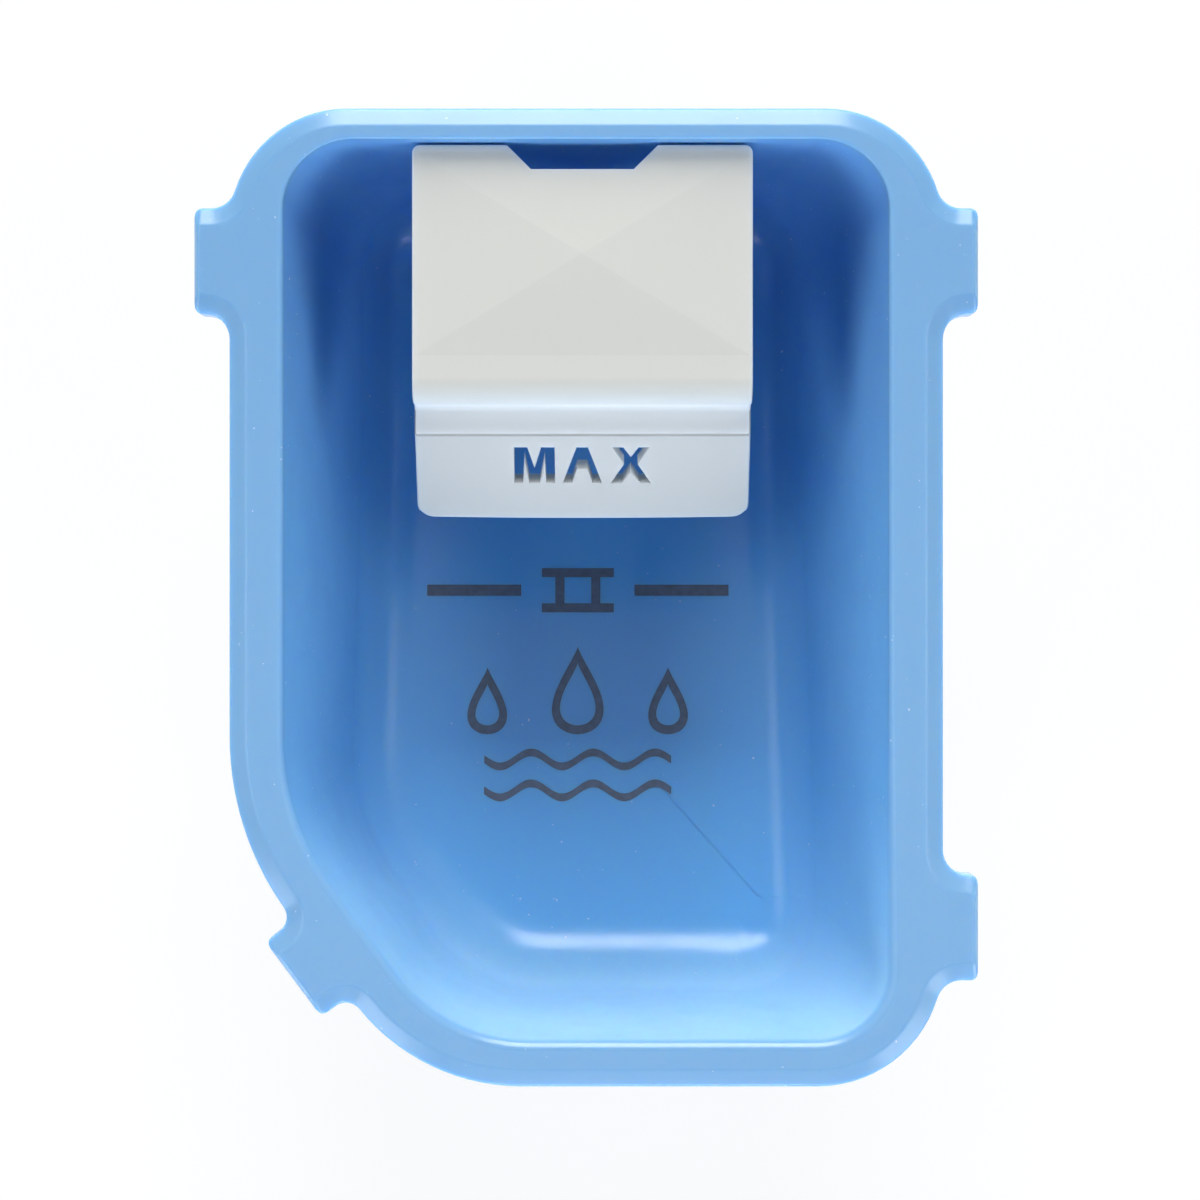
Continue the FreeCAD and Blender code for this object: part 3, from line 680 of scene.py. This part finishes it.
bell = turned("bell", [(bell_bore_r, FLOOR), (bell_r, FLOOR), (bell_r, inside_hood), (NEAR_AXIS, inside_hood),
                       (NEAR_AXIS, hood_z - HOOD_SKIN), (bell_bore_r, hood_z - HOOD_SKIN)], siphon)
for half_x, half_y in ((2 * bell_r, SLOT_WIDTH / 2), (SLOT_WIDTH / 2, 2 * bell_r)):
    combine(bell, block("slot", (siphon.x - half_x, siphon.y - half_y, FLOOR - 1),
                        (siphon.x + half_x, siphon.y + half_y, FLOOR + SLOT_HEIGHT)), "DIFFERENCE")
guide_low = pipe_top - GUIDE_LENGTH - PIPE_CHAMFER
for index in range(GUIDE_COUNT):
    turn = Matrix.Rotation(math.radians(90 + index * 360 / GUIDE_COUNT), 3, "Z")
    near, far, side = pipe_r + GUIDE_CLEARANCE, bell_bore_r + BELL_SKIN / 2, GUIDE_SKIN / 2
    plan = [(near, -side, 0), (far, -side, 0), (far, side, 0), (near, side, 0)]
    outline = [turn @ Vector(point) + siphon + Vector((0, 0, guide_low)) for point in plan]
    combine(bell, prism("guide_rib", outline, Vector((0, 0, GUIDE_LENGTH))), "UNION")
combine(insert, bell, "UNION")

notch_front, notch_back = hood_back - NOTCH_DEPTH, hood_back + NOTCH_DEPTH
half, wide = NOTCH_WIDTH / 2, NOTCH_WIDTH / 2 + 2 * NOTCH_DEPTH
notch_plan = [(-half, notch_front), (half, notch_front), (wide, notch_back), (-wide, notch_back)]
combine(insert, prism("notch", [(siphon.x + x, y, hood_z - CHEEK_DEPTH) for x, y in notch_plan],
                      Vector((0, 0, 2 * CHEEK_DEPTH))), "DIFFERENCE")
print("insert with bell, cheeks and notch:", len(insert.data.polygons), "faces")

# %% [markdown]
# ## The fill limit
# Three plain capitals are cut right through the flap, square to it, and say how far to fill the cup.
# Light falls through them, so their walls have to be real: a painted word would look flat.
# Each capital is an outline, swept through the flap and taken away. Its points go across in millimetres
# and up in shares of the height.

# %% Capitals cut through the flap
LIMIT_HEIGHT, LIMIT_SETBACK = 5.4, 5.4
capital_m = [(0, 0), (1.16, 0), (1.34, 0.62), (1.96, 0), (3.39, 0), (4.01, 0.62), (4.19, 0),
             (5.35, 0), (5.35, 1), (3.58, 1), (2.675, 0.43), (1.77, 1), (0, 1)]
capital_a = [(0, 0), (1.28, 0), (1.92, 0.39), (3.26, 0.39), (3.9, 0), (5.18, 0), (3.34, 1), (1.84, 1)]
capital_x = [(0, 0), (1.5, 0), (2.65, 0.32), (3.8, 0), (5.3, 0), (3.55, 0.53), (5.1, 1), (3.65, 1),
             (2.65, 0.73), (1.65, 1), (0.2, 1), (1.75, 0.53)]
limit_feet = flap_end - flap_down * LIMIT_SETBACK - flap_in
for left, capital in ((-9.0, capital_m), (-2.65, capital_a), (3.65, capital_x)):
    outline = [limit_feet + Vector((left + across, 0, 0)) - flap_down * (up * LIMIT_HEIGHT)
               for across, up in capital]
    combine(insert, prism("capital", outline, flap_in * (FLAP_SKIN + 2)), "DIFFERENCE")
print("insert with its fill limit:", len(insert.data.polygons), "faces")

# %% [markdown]
# ## Smooth and sharp edges
# Every face is shaded smooth, and edges that turn more than a set angle stay sharp.
# Weighted normals let the large flat faces decide how the light falls at their edges, so flats look flat.
# The four creases of the crown turn only two degrees, so they are marked sharp one by one.

# %% Shading of the two mouldings
SMOOTH_ANGLE, CREASE_ANGLE = math.radians(32), math.radians(0.8)
NORMAL_WEIGHT, NEARLY_UP = 60, 0.99


def shade(piece, creases=()):
    """Smooth shading with sharp edges above the smooth angle; creases adds single edges."""
    piece.data.shade_smooth()
    piece.data.set_sharp_from_angle(angle=SMOOTH_ANGLE)
    for index in creases:
        piece.data.edges[index].use_edge_sharp = True
    weigh = piece.modifiers.new("weighted_normals", "WEIGHTED_NORMAL")
    weigh.keep_sharp = True
    weigh.weight = NORMAL_WEIGHT
    keep_result(piece)


def crown_creases(piece):
    """Edges of the hood's top between two faces that both look nearly straight up but not the same way."""
    sides = {}
    for face in piece.data.polygons:
        if face.normal.z > NEARLY_UP and face.center.z / MM > hood_z - SAME_PLACE:
            for key in face.edge_keys:
                sides.setdefault(key, []).append(face.normal)
    number = {edge.key: edge.index for edge in piece.data.edges}
    return [number[key] for key, pair in sides.items()
            if len(pair) == 2 and pair[0].angle(pair[1]) > CREASE_ANGLE]


shade(cup)
creases = crown_creases(insert)
shade(insert, creases)
print("creases kept on the crown:", len(creases))

# %% [markdown]
# ## The print on the floor
# A thin grey print lies on the sloping floor: two strokes between bars, three drops and two waves.
# Ink is a film with hardly any height, so each mark is a flat strip between two lines that lies on the floor.
# A text or curve object could be projected onto the floor, but strips keep the mesh small and clean.

# %% Marks of the print
INK_HEIGHT, DROP_BELLY, DROP_TAPER = 0.03, 1.25, 1.6
ink_points, ink_faces = [], []


def strip(first, second, closed=False):
    """Adds the band between two lines with as many points."""
    base, count = len(ink_points), len(first)
    ink_points.extend((x, y, floor_height(y) + INK_HEIGHT) for x, y in first + second)
    for i in range(count if closed else count - 1):
        j = (i + 1) % count
        ink_faces.append([base + i, base + j, base + count + j, base + count + i])


def bar(left, right, low, high):
    strip([(left, low), (left, high)], [(right, low), (right, high)])


def drop_line(x, low, height, width, steps=48):
    """Outline of a drop: round below, drawn out to a point above."""
    points = []
    for step in range(steps):
        turn = 2 * math.pi * step / steps
        half = width / 2 * DROP_BELLY * math.sin(turn / 2) ** DROP_TAPER
        points.append((x + half * math.sin(turn), low + height * (1 + math.cos(turn)) / 2))
    return points


PRINT_X, STROKE, DROP_LINE, WAVE_LINE = -1.45, 1.3, 1.25, 1.1
STROKE_OUT, SIGN_HALF, SIGN_LOW, SIGN_HIGH = 2.6, 5.2, -2.1, 3.0
DASH_START, DASH_END, DASH_LOW, DASH_HIGH = 8.2, 21.8, 0.3, 1.9
for side in (-1, 1):
    stroke_x = PRINT_X + side * STROKE_OUT
    bar(stroke_x - STROKE / 2, stroke_x + STROKE / 2, SIGN_LOW + STROKE, SIGN_HIGH)
    dash = sorted((PRINT_X + side * DASH_START, PRINT_X + side * DASH_END))
    bar(*dash, DASH_LOW, DASH_HIGH)
for low in (SIGN_LOW, SIGN_HIGH):
    bar(PRINT_X - SIGN_HALF, PRINT_X + SIGN_HALF, low, low + STROKE)

DROP_FOOT, DROP_SPACING = -19.6, 13.0
INNER_SHORTER, INNER_NARROWER = 2.9 * DROP_LINE, 2.1 * DROP_LINE
for place, height, width in ((0, 12.6, 8.6), (-1, 9.6, 6.6), (1, 9.6, 6.6)):
    drop_x = PRINT_X + place * DROP_SPACING
    outer_line = drop_line(drop_x, DROP_FOOT, height, width)
    inner_line = drop_line(drop_x, DROP_FOOT + DROP_LINE, height - INNER_SHORTER, width - INNER_NARROWER)
    strip(outer_line, inner_line, closed=True)

WAVE_HALF, WAVE_LENGTH, WAVE_HEIGHT = 13.4, 8.9, 1.0
for wave_y in (-23.2, -27.6):
    across = [WAVE_HALF * (step / 30 - 1) for step in range(61)]
    wave = [(PRINT_X + x, wave_y + WAVE_HEIGHT * math.sin(x * 2 * math.pi / WAVE_LENGTH)) for x in across]
    strip([(x, y - WAVE_LINE / 2) for x, y in wave], [(x, y + WAVE_LINE / 2) for x, y in wave])
marks = mesh_piece("floor_print", ink_points, ink_faces)
work = bmesh.new()
work.from_mesh(marks.data)
for face in work.faces:
    if face.normal.z < 0:
        face.normal_flip()
work.to_mesh(marks.data)
work.free()
print("print:", len(marks.data.polygons), "faces")

# %% [markdown]
# ## Helpers for the finishes
# A finish is a small network of nodes. A picture wrapped round the mesh could give one, but it would stretch
# and end somewhere. Noise in the object's own space does neither.
# Each helper adds a few nodes and gives back the socket that carries the outcome.

# %% Noise, ramps, mixes and bumps
Finish = namedtuple("Finish", "material nodes links shader")


def new_finish(name):
    material = bpy.data.materials.new(name)
    material.use_nodes = True
    tree = material.node_tree
    return Finish(material, tree.nodes, tree.links, tree.nodes["Principled BSDF"])


def new_nodes(finish, *kinds):
    return [finish.nodes.new("ShaderNode" + kind) for kind in kinds]


def fill(finish, node, values):
    """Fills a node's inputs: a socket is linked, and anything else is set."""
    for name, value in values.items():
        if isinstance(value, bpy.types.NodeSocket):
            finish.links.new(value, node.inputs[name])
        else:
            node.inputs[name].default_value = value


def noise(finish, scale, detail=3.0, stretch=(1, 1, 1), turn=0.0):
    """Noise in the object's own space; stretch scales it along X, Y and Z."""
    place, mapping, texture = new_nodes(finish, "TexCoord", "Mapping", "TexNoise")
    fill(finish, mapping, {"Vector": place.outputs["Object"], "Scale": stretch, "Rotation": (0, 0, turn)})
    fill(finish, texture, {"Vector": mapping.outputs["Vector"], "Scale": scale, "Detail": detail})
    return texture.outputs["Fac"]


def ramp(finish, factor, *stops):
    """A colour ramp with two (place, colour) stops; a single number is a grey."""
    node, = new_nodes(finish, "ValToRGB")
    for element, (place, colour) in zip(node.color_ramp.elements, stops):
        element.position = place
        element.color = (*colour, 1) if isinstance(colour, tuple) else (colour, colour, colour, 1)
    fill(finish, node, {"Fac": factor})
    return node.outputs["Color"]


def mixed(finish, factor, first, second):
    """Goes from a first colour to a second one by a factor; either may be a colour or a socket."""
    node, = new_nodes(finish, "Mix")
    node.data_type = "RGBA"
    place = {socket.identifier: index for index, socket in enumerate(node.inputs)}
    first, second = ((*value, 1) if isinstance(value, tuple) else value for value in (first, second))
    fill(finish, node, {place["Factor_Float"]: factor, place["A_Color"]: first, place["B_Color"]: second})
    return next(socket for socket in node.outputs if socket.type == "RGBA")


def bumped(finish, *heights):
    """Chains (height, strength, distance) bumps into the shader's normal."""
    below = {}
    for height, strength, distance in heights:
        bump, = new_nodes(finish, "Bump")
        fill(finish, bump, {"Height": height, "Strength": strength, "Distance": distance, **below})
        below = {"Normal": bump.outputs["Normal"]}
    fill(finish, finish.shader, below)


print("ready: noise, ramps, mixes and bumps")

# %% [markdown]
# ## Where a tone lies
# Most of the tones that masks place here are painted light and shade, and a few are wear. Materials of their
# own would leave hard borders, so masks run softly from 0 to 1, by the place of a point or by the way its face
# looks.
# Plastic also lets light in, which wanders about and comes out nearby, and that softens all shading.

# %% Masks, and light inside the plastic
def climbing(finish, axis, low, high, source="Object", unit=MM):
    """Runs from 0 to 1 between two places on an axis; source and unit are changed by leaning."""
    place, apart, climb = new_nodes(finish, "TexCoord", "SeparateXYZ", "MapRange")
    fill(finish, apart, {"Vector": place.outputs[source]})
    fill(finish, climb, {"Value": apart.outputs[axis], "From Min": low * unit, "From Max": high * unit})
    return climb.outputs["Result"]


def leaning(finish, axis, low, high):
    """Runs from 0 to 1 between two values of the face normal's part along an axis."""
    return climbing(finish, axis, low, high, "Normal", 1)


def facing(finish, middle, soft):
    """Runs from 0 on faces that look away from a point to 1 on faces that look towards it."""
    place, apart, towards, climb = new_nodes(finish, "TexCoord", "VectorMath", "VectorMath", "MapRange")
    apart.operation, towards.operation = "SUBTRACT", "DOT_PRODUCT"
    fill(finish, apart, {0: place.outputs["Object"], 1: middle * MM})
    fill(finish, towards, {0: apart.outputs["Vector"], 1: place.outputs["Normal"]})
    fill(finish, climb, {"Value": towards.outputs["Value"], "From Min": soft * MM, "From Max": -soft * MM})
    return climb.outputs["Result"]


def light_inside(finish, *depths):
    """Lets light wander this many millimetres inside the plastic, for red, green and blue."""
    fill(finish, finish.shader, {"Subsurface Weight": 1.0, "Subsurface Radius": depths,
                                 "Subsurface Scale": MM})


print("ready: masks by place and by direction, and light inside")

# %% [markdown]
# ## Blue plastic
# The cup is satin polypropylene: a clear blue with slight clouds, fine scratches and a few specks of dust.
# Under plain lamps one even blue comes out too dark on the front wall and too bright at the back, so the
# inside has zones of painted light and shade. The rim, which hands and the drawer rub, is duller; its tone is
# wear and painted sheen. Level faces are rougher. Scratches and grain go into a bump, because they change only
# how light is returned.

# %% The blue plastic
PAINTED_FRONT_LIGHT, PAINTED_BACK_SHADE, DUST = (0.4, 0.68, 0.88), (0.165, 0.4, 0.765), (0.55, 0.68, 0.85)
FLOOR_PAINTED_DEEP, FLOOR_PAINTED_PALE = (0.155, 0.475, 0.8), (0.21, 0.53, 0.89)
RUBBED_AND_SHEEN_FRONT, RUBBED_SHEEN_AND_SHADE_BACK = (0.216, 0.445, 0.7), (0.183, 0.4, 0.645)
ROUGH_LEVEL, PLASTIC_IOR = (0.55, 0.55, 0.55), 1.49

blue = new_finish("blue_polypropylene")
clouds = ramp(blue, noise(blue, 45), (0.3, (0.192, 0.473, 0.79)), (0.7, (0.202, 0.487, 0.81)))
# Painted light: the front wall is painted paler from about 10 mm up, fading out towards the middle of the tub.
front_wall_painted_light = mixed(blue, climbing(blue, "Z", 10, 20), clouds, PAINTED_FRONT_LIGHT)
front = mixed(blue, climbing(blue, "Y", -56, -26), front_wall_painted_light, clouds)
# Painted shade: the walls are painted a deeper blue towards the back.
walls = mixed(blue, climbing(blue, "Y", 10, 50), front, PAINTED_BACK_SHADE)
# Painted light and shade on the floor: a deeper blue at the front and a paler one towards the back, under the
# hood.
base = mixed(blue, climbing(blue, "Y", -5, 20), FLOOR_PAINTED_DEEP, FLOOR_PAINTED_PALE)
inside = mixed(blue, leaning(blue, "Z", 0.8, 0.96), walls, base)
tub = mixed(blue, facing(blue, Vector((0, 0, RIM_TOP / 2)), 5), clouds, inside)
# The rim's top band is greyer: partly wear, partly painted sheen. It is also painted darker towards the back,
# as painted shade.
rubbed_and_painted = mixed(blue, climbing(blue, "Y", -50, 45), RUBBED_AND_SHEEN_FRONT, RUBBED_SHEEN_AND_SHADE_BACK)
wear_and_painted_light = mixed(blue, climbing(blue, "Z", RIM_TOP - 1.6, RIM_TOP - 0.6), tub, rubbed_and_painted)
# The specks are real dust, laid over the painted tones and the wear.
specks = ramp(blue, noise(blue, 1500, 1.0), (0.775, 0.0), (0.81, 1.0))
dust_and_painted_light = mixed(blue, specks, wear_and_painted_light, DUST)

sheen = ramp(blue, noise(blue, 160), (0.3, 0.20), (0.7, 0.27))
dulled = mixed(blue, leaning(blue, "Z", 0.992, 0.999), sheen, ROUGH_LEVEL)
fill(blue, blue.shader, {"Base Color": dust_and_painted_light, "Roughness": dulled, "IOR": PLASTIC_IOR,
                         "Specular IOR Level": 0.4})
light_inside(blue, 0.5, 0.9, 1.3)
scratches = ramp(blue, noise(blue, 60, 2.0, stretch=(1, 22, 1), turn=0.4), (0.70, 0.0), (0.74, 1.0))
bumped(blue, (noise(blue, 1800, 2.0), 0.05, 0.0002), (scratches, 0.015, 0.0001))
print("material:", blue.material.name, "with", len(blue.nodes), "nodes")

# %% [markdown]
# ## White plastic
# The insert is the same kind of plastic, undyed and duller, with slightly warm clouds.
# Its ledge is painted paler as painted light, a thin line of painted shade runs where the ledge meets the
# flap, and the flap is painted paler and cooler, as painted blue light reflected from the tub.
# The four faces of the crown are painted a hair lighter where they lean back and darker where they lean
# forward, as painted light and shade, so that the point of the hood can be read from above.

# %% The white plastic
PAINTED_FLAP_LIGHT, PAINTED_SEAM_SHADE, PAINTED_LEDGE_LIGHT = (0.68, 0.69, 0.675), (0.36, 0.34, 0.31), (0.79, 0.81, 0.81)
CROWN_PAINTED_SHADE, CROWN_PAINTED_LIGHT = (0.614, 0.612, 0.574), (0.652, 0.65, 0.611)

white = new_finish("white_polypropylene")
clouds = ramp(white, noise(white, 60), (0.3, (0.628, 0.628, 0.592)), (0.7, (0.658, 0.658, 0.622)))
# Painted light on the flap, paler and cooler, and a thin band of painted shade on the lip just below the
# ledge.
flap_and_seam_paint = mixed(white, climbing(white, "Z", step_z - 0.7, step_z - 0.5), PAINTED_FLAP_LIGHT, PAINTED_SEAM_SHADE)
# Painted light: the ledge is painted paler than the rest of the insert.
ledge = mixed(white, climbing(white, "Z", step_z - 0.05, step_z - 0.01), flap_and_seam_paint, PAINTED_LEDGE_LIGHT)
step = mixed(white, climbing(white, "Z", step_z + 0.4, step_z + 3), ledge, clouds)
hood = mixed(white, climbing(white, "Y", hood_front + 1.5, hood_front + 2.5), step, clouds)
# Painted light and shade: crown faces that lean back are painted lighter, those that lean forward darker.
crown_light_and_shade = mixed(white, leaning(white, "Y", -0.06, 0.06), CROWN_PAINTED_SHADE, CROWN_PAINTED_LIGHT)
crowned = mixed(white, climbing(white, "Z", hood_z - 0.3, hood_z - 0.05), hood, crown_light_and_shade)

dull = ramp(white, noise(white, 200), (0.3, 0.62), (0.7, 0.7))
fill(white, white.shader, {"Base Color": crowned, "Roughness": dull, "IOR": PLASTIC_IOR,
                           "Specular IOR Level": 0.35})
light_inside(white, 2.0, 2.0, 2.0)
bumped(white, (noise(white, 1400, 2.0), 0.04, 0.0002))
print("material:", white.material.name, "with", len(white.nodes), "nodes")

# %% [markdown]
# ## Grey ink
# The print is a thin grey film that leans to blue and is a little uneven, as pad printing is.
# A clear film over the blue would need light to pass through it. An opaque grey with noise looks the same.

# %% The grey ink
ink = new_finish("grey_ink")
uneven = ramp(ink, noise(ink, 900, 4.0), (0.3, (0.075, 0.095, 0.13)), (0.72, (0.10, 0.13, 0.19)))
fill(ink, ink.shader, {"Base Color": uneven, "Roughness": 0.5})
print("material:", ink.material.name)

# %% [markdown]
# ## Pieces and bodies
# The model has two bodies: the cup, and the insert that lifts out of it. Each mesh rides on its body,
# stands for the imported solid of the same piece, which is hidden, and gets its finish.

# %% Finishes, bodies and places
for piece, finish, body, slot in ((cup, blue, "cup", "cup_plastic"),
                                  (marks, ink, "cup", "cup_plastic"),
                                  (insert, white, "siphon_insert", "insert_plastic")):
    piece.data.materials.clear()
    piece.data.materials.append(finish.material)
    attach(piece, body)
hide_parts("cup")
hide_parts("siphon_insert")
print("pieces:", cup.name, insert.name, marks.name)

# %% [markdown]
# ## Floor and sky
# A plain studio is pale all round, but a bright sky would wash out the shading in the tub. So the sky gives
# only a faint even light, and the rays of the camera, of mirrors and of clear plastic see white instead.
# The floor is mostly white for them too, and keeps enough of its own shading to show the cup's shadow.

# %% Floor and sky
def white_for_sight(finish, plain, white_light, share):
    """Mixes a share of white light into a shader for camera, glossy and transmission rays."""
    path, either, any_ray, part, blend = new_nodes(finish, "LightPath", "Math", "Math", "Math", "MixShader")
    either.operation = any_ray.operation = "MAXIMUM"
    part.operation = "MULTIPLY"
    fill(finish, either, {0: path.outputs["Is Camera Ray"], 1: path.outputs["Is Glossy Ray"]})
    fill(finish, any_ray, {0: either.outputs[0], 1: path.outputs["Is Transmission Ray"]})
    fill(finish, part, {0: any_ray.outputs[0], 1: share})
    fill(finish, blend, {0: part.outputs[0], 1: plain.outputs[0], 2: white_light.outputs[0]})
    return blend.outputs["Shader"]


FLOOR_HALF, FLOOR_DROP, FLOOR_WHITE, SKY_STRENGTH = 3000, 0.1, 0.85, 0.06
pale = new_finish("pale_floor")
paper = ramp(pale, noise(pale, 3), (0.3, 0.9), (0.7, 0.89))
fill(pale, pale.shader, {"Base Color": paper, "Roughness": 0.9})
glow, = new_nodes(pale, "Emission")
fill(pale, pale.nodes["Material Output"], {"Surface": white_for_sight(pale, pale.shader, glow, FLOOR_WHITE)})
signs = ((-1, -1), (1, -1), (1, 1), (-1, 1))
corners = [(x * FLOOR_HALF, y * FLOOR_HALF, -FLOOR_DROP) for x, y in signs]
floor = mesh_piece("floor", corners, [[0, 1, 2, 3]])
floor.data.materials.append(pale.material)

world = bpy.data.worlds.new("studio")
bpy.context.scene.world = world
world.use_nodes = True
sky = world.node_tree.nodes["Background"]
studio = Finish(world, world.node_tree.nodes, world.node_tree.links, sky)
plain_white, = new_nodes(studio, "Background")
fill(studio, sky, {"Color": (1, 1, 1, 1), "Strength": SKY_STRENGTH})
fill(studio, plain_white, {"Color": (1, 1, 1, 1), "Strength": 1.0})
fill(studio, studio.nodes["World Output"], {"Surface": white_for_sight(studio, sky, plain_white, 1.0)})
print("floor and sky:", floor.name, world.name)

# %% [markdown]
# ## Lamps
# The main lamp is tall, soft and low behind the siphon end, so the front wall is bright and the back of the
# tub lies in shade. Weaker, cooler lamps in front light the sloping edge of the rim, and two dim ones at the
# sides reach the floor. All are area lamps, because a small lamp would draw hard shadows across the tub.

# %% Lamps
LAMP_DISTANCE, COOL_WHITE = 1.1, (0.92, 1.0, 1.12)


def soft_lamp(name, elevation, turn, size, power, colour=(1, 1, 1)):
    """A lamp that faces the rim; turn is 0 at the siphon end, and size is its width and height in metres."""
    lamp = bpy.data.lights.new(name, "AREA")
    lamp.shape = "RECTANGLE"
    lamp.size, lamp.size_y = size
    lamp.energy = power
    lamp.color = colour
    holder = bpy.data.objects.new(name, lamp)
    high, round_about = math.radians(elevation), math.radians(turn)
    level = Vector((math.sin(round_about), math.cos(round_about), 0))
    away = level * math.cos(high) + Vector((0, 0, math.sin(high)))
    holder.location = Vector((0, 0, RIM_TOP * MM)) + away * LAMP_DISTANCE
    holder.rotation_euler = away.to_track_quat("Z", "Y").to_euler()
    bpy.context.scene.collection.objects.link(holder)


soft_lamp("back_lamp", 26, 0, (0.5, 0.9), 17.0)
soft_lamp("front_lamp", 14, 180, (0.5, 0.4), 4.0, COOL_WHITE)
for side in (-1, 1):
    soft_lamp("corner_lamp", 19, side * 135, (0.5, 0.5), 5.4, COOL_WHITE)
    soft_lamp("side_lamp", 50, side * 90, (0.5, 0.4), 1.5)
scene = bpy.context.scene
scene.view_settings.view_transform = "Standard"

# %% [markdown]
# ## Camera
# The camera looks straight down. Its height above the rim sets how much of the walls one sees, and the lens
# follows from the width of the picture at the rim. A view without perspective would all but lose the walls.

# %% Camera
CAMERA_X, CAMERA_Y, CAMERA_HEIGHT, FRAME_WIDTH, SENSOR = 1.757, -0.32, 400.0, 152.8, 36.0
lens = bpy.data.cameras.new("camera")
lens.sensor_width = SENSOR
lens.lens = SENSOR * CAMERA_HEIGHT / FRAME_WIDTH
lens.clip_start = 0.01
camera = bpy.data.objects.new("camera", lens)
camera.location = Vector((CAMERA_X, CAMERA_Y, RIM_TOP + CAMERA_HEIGHT)) * MM
scene.collection.objects.link(camera)
scene.camera = camera
print("lens:", round(lens.lens, 2), "mm")
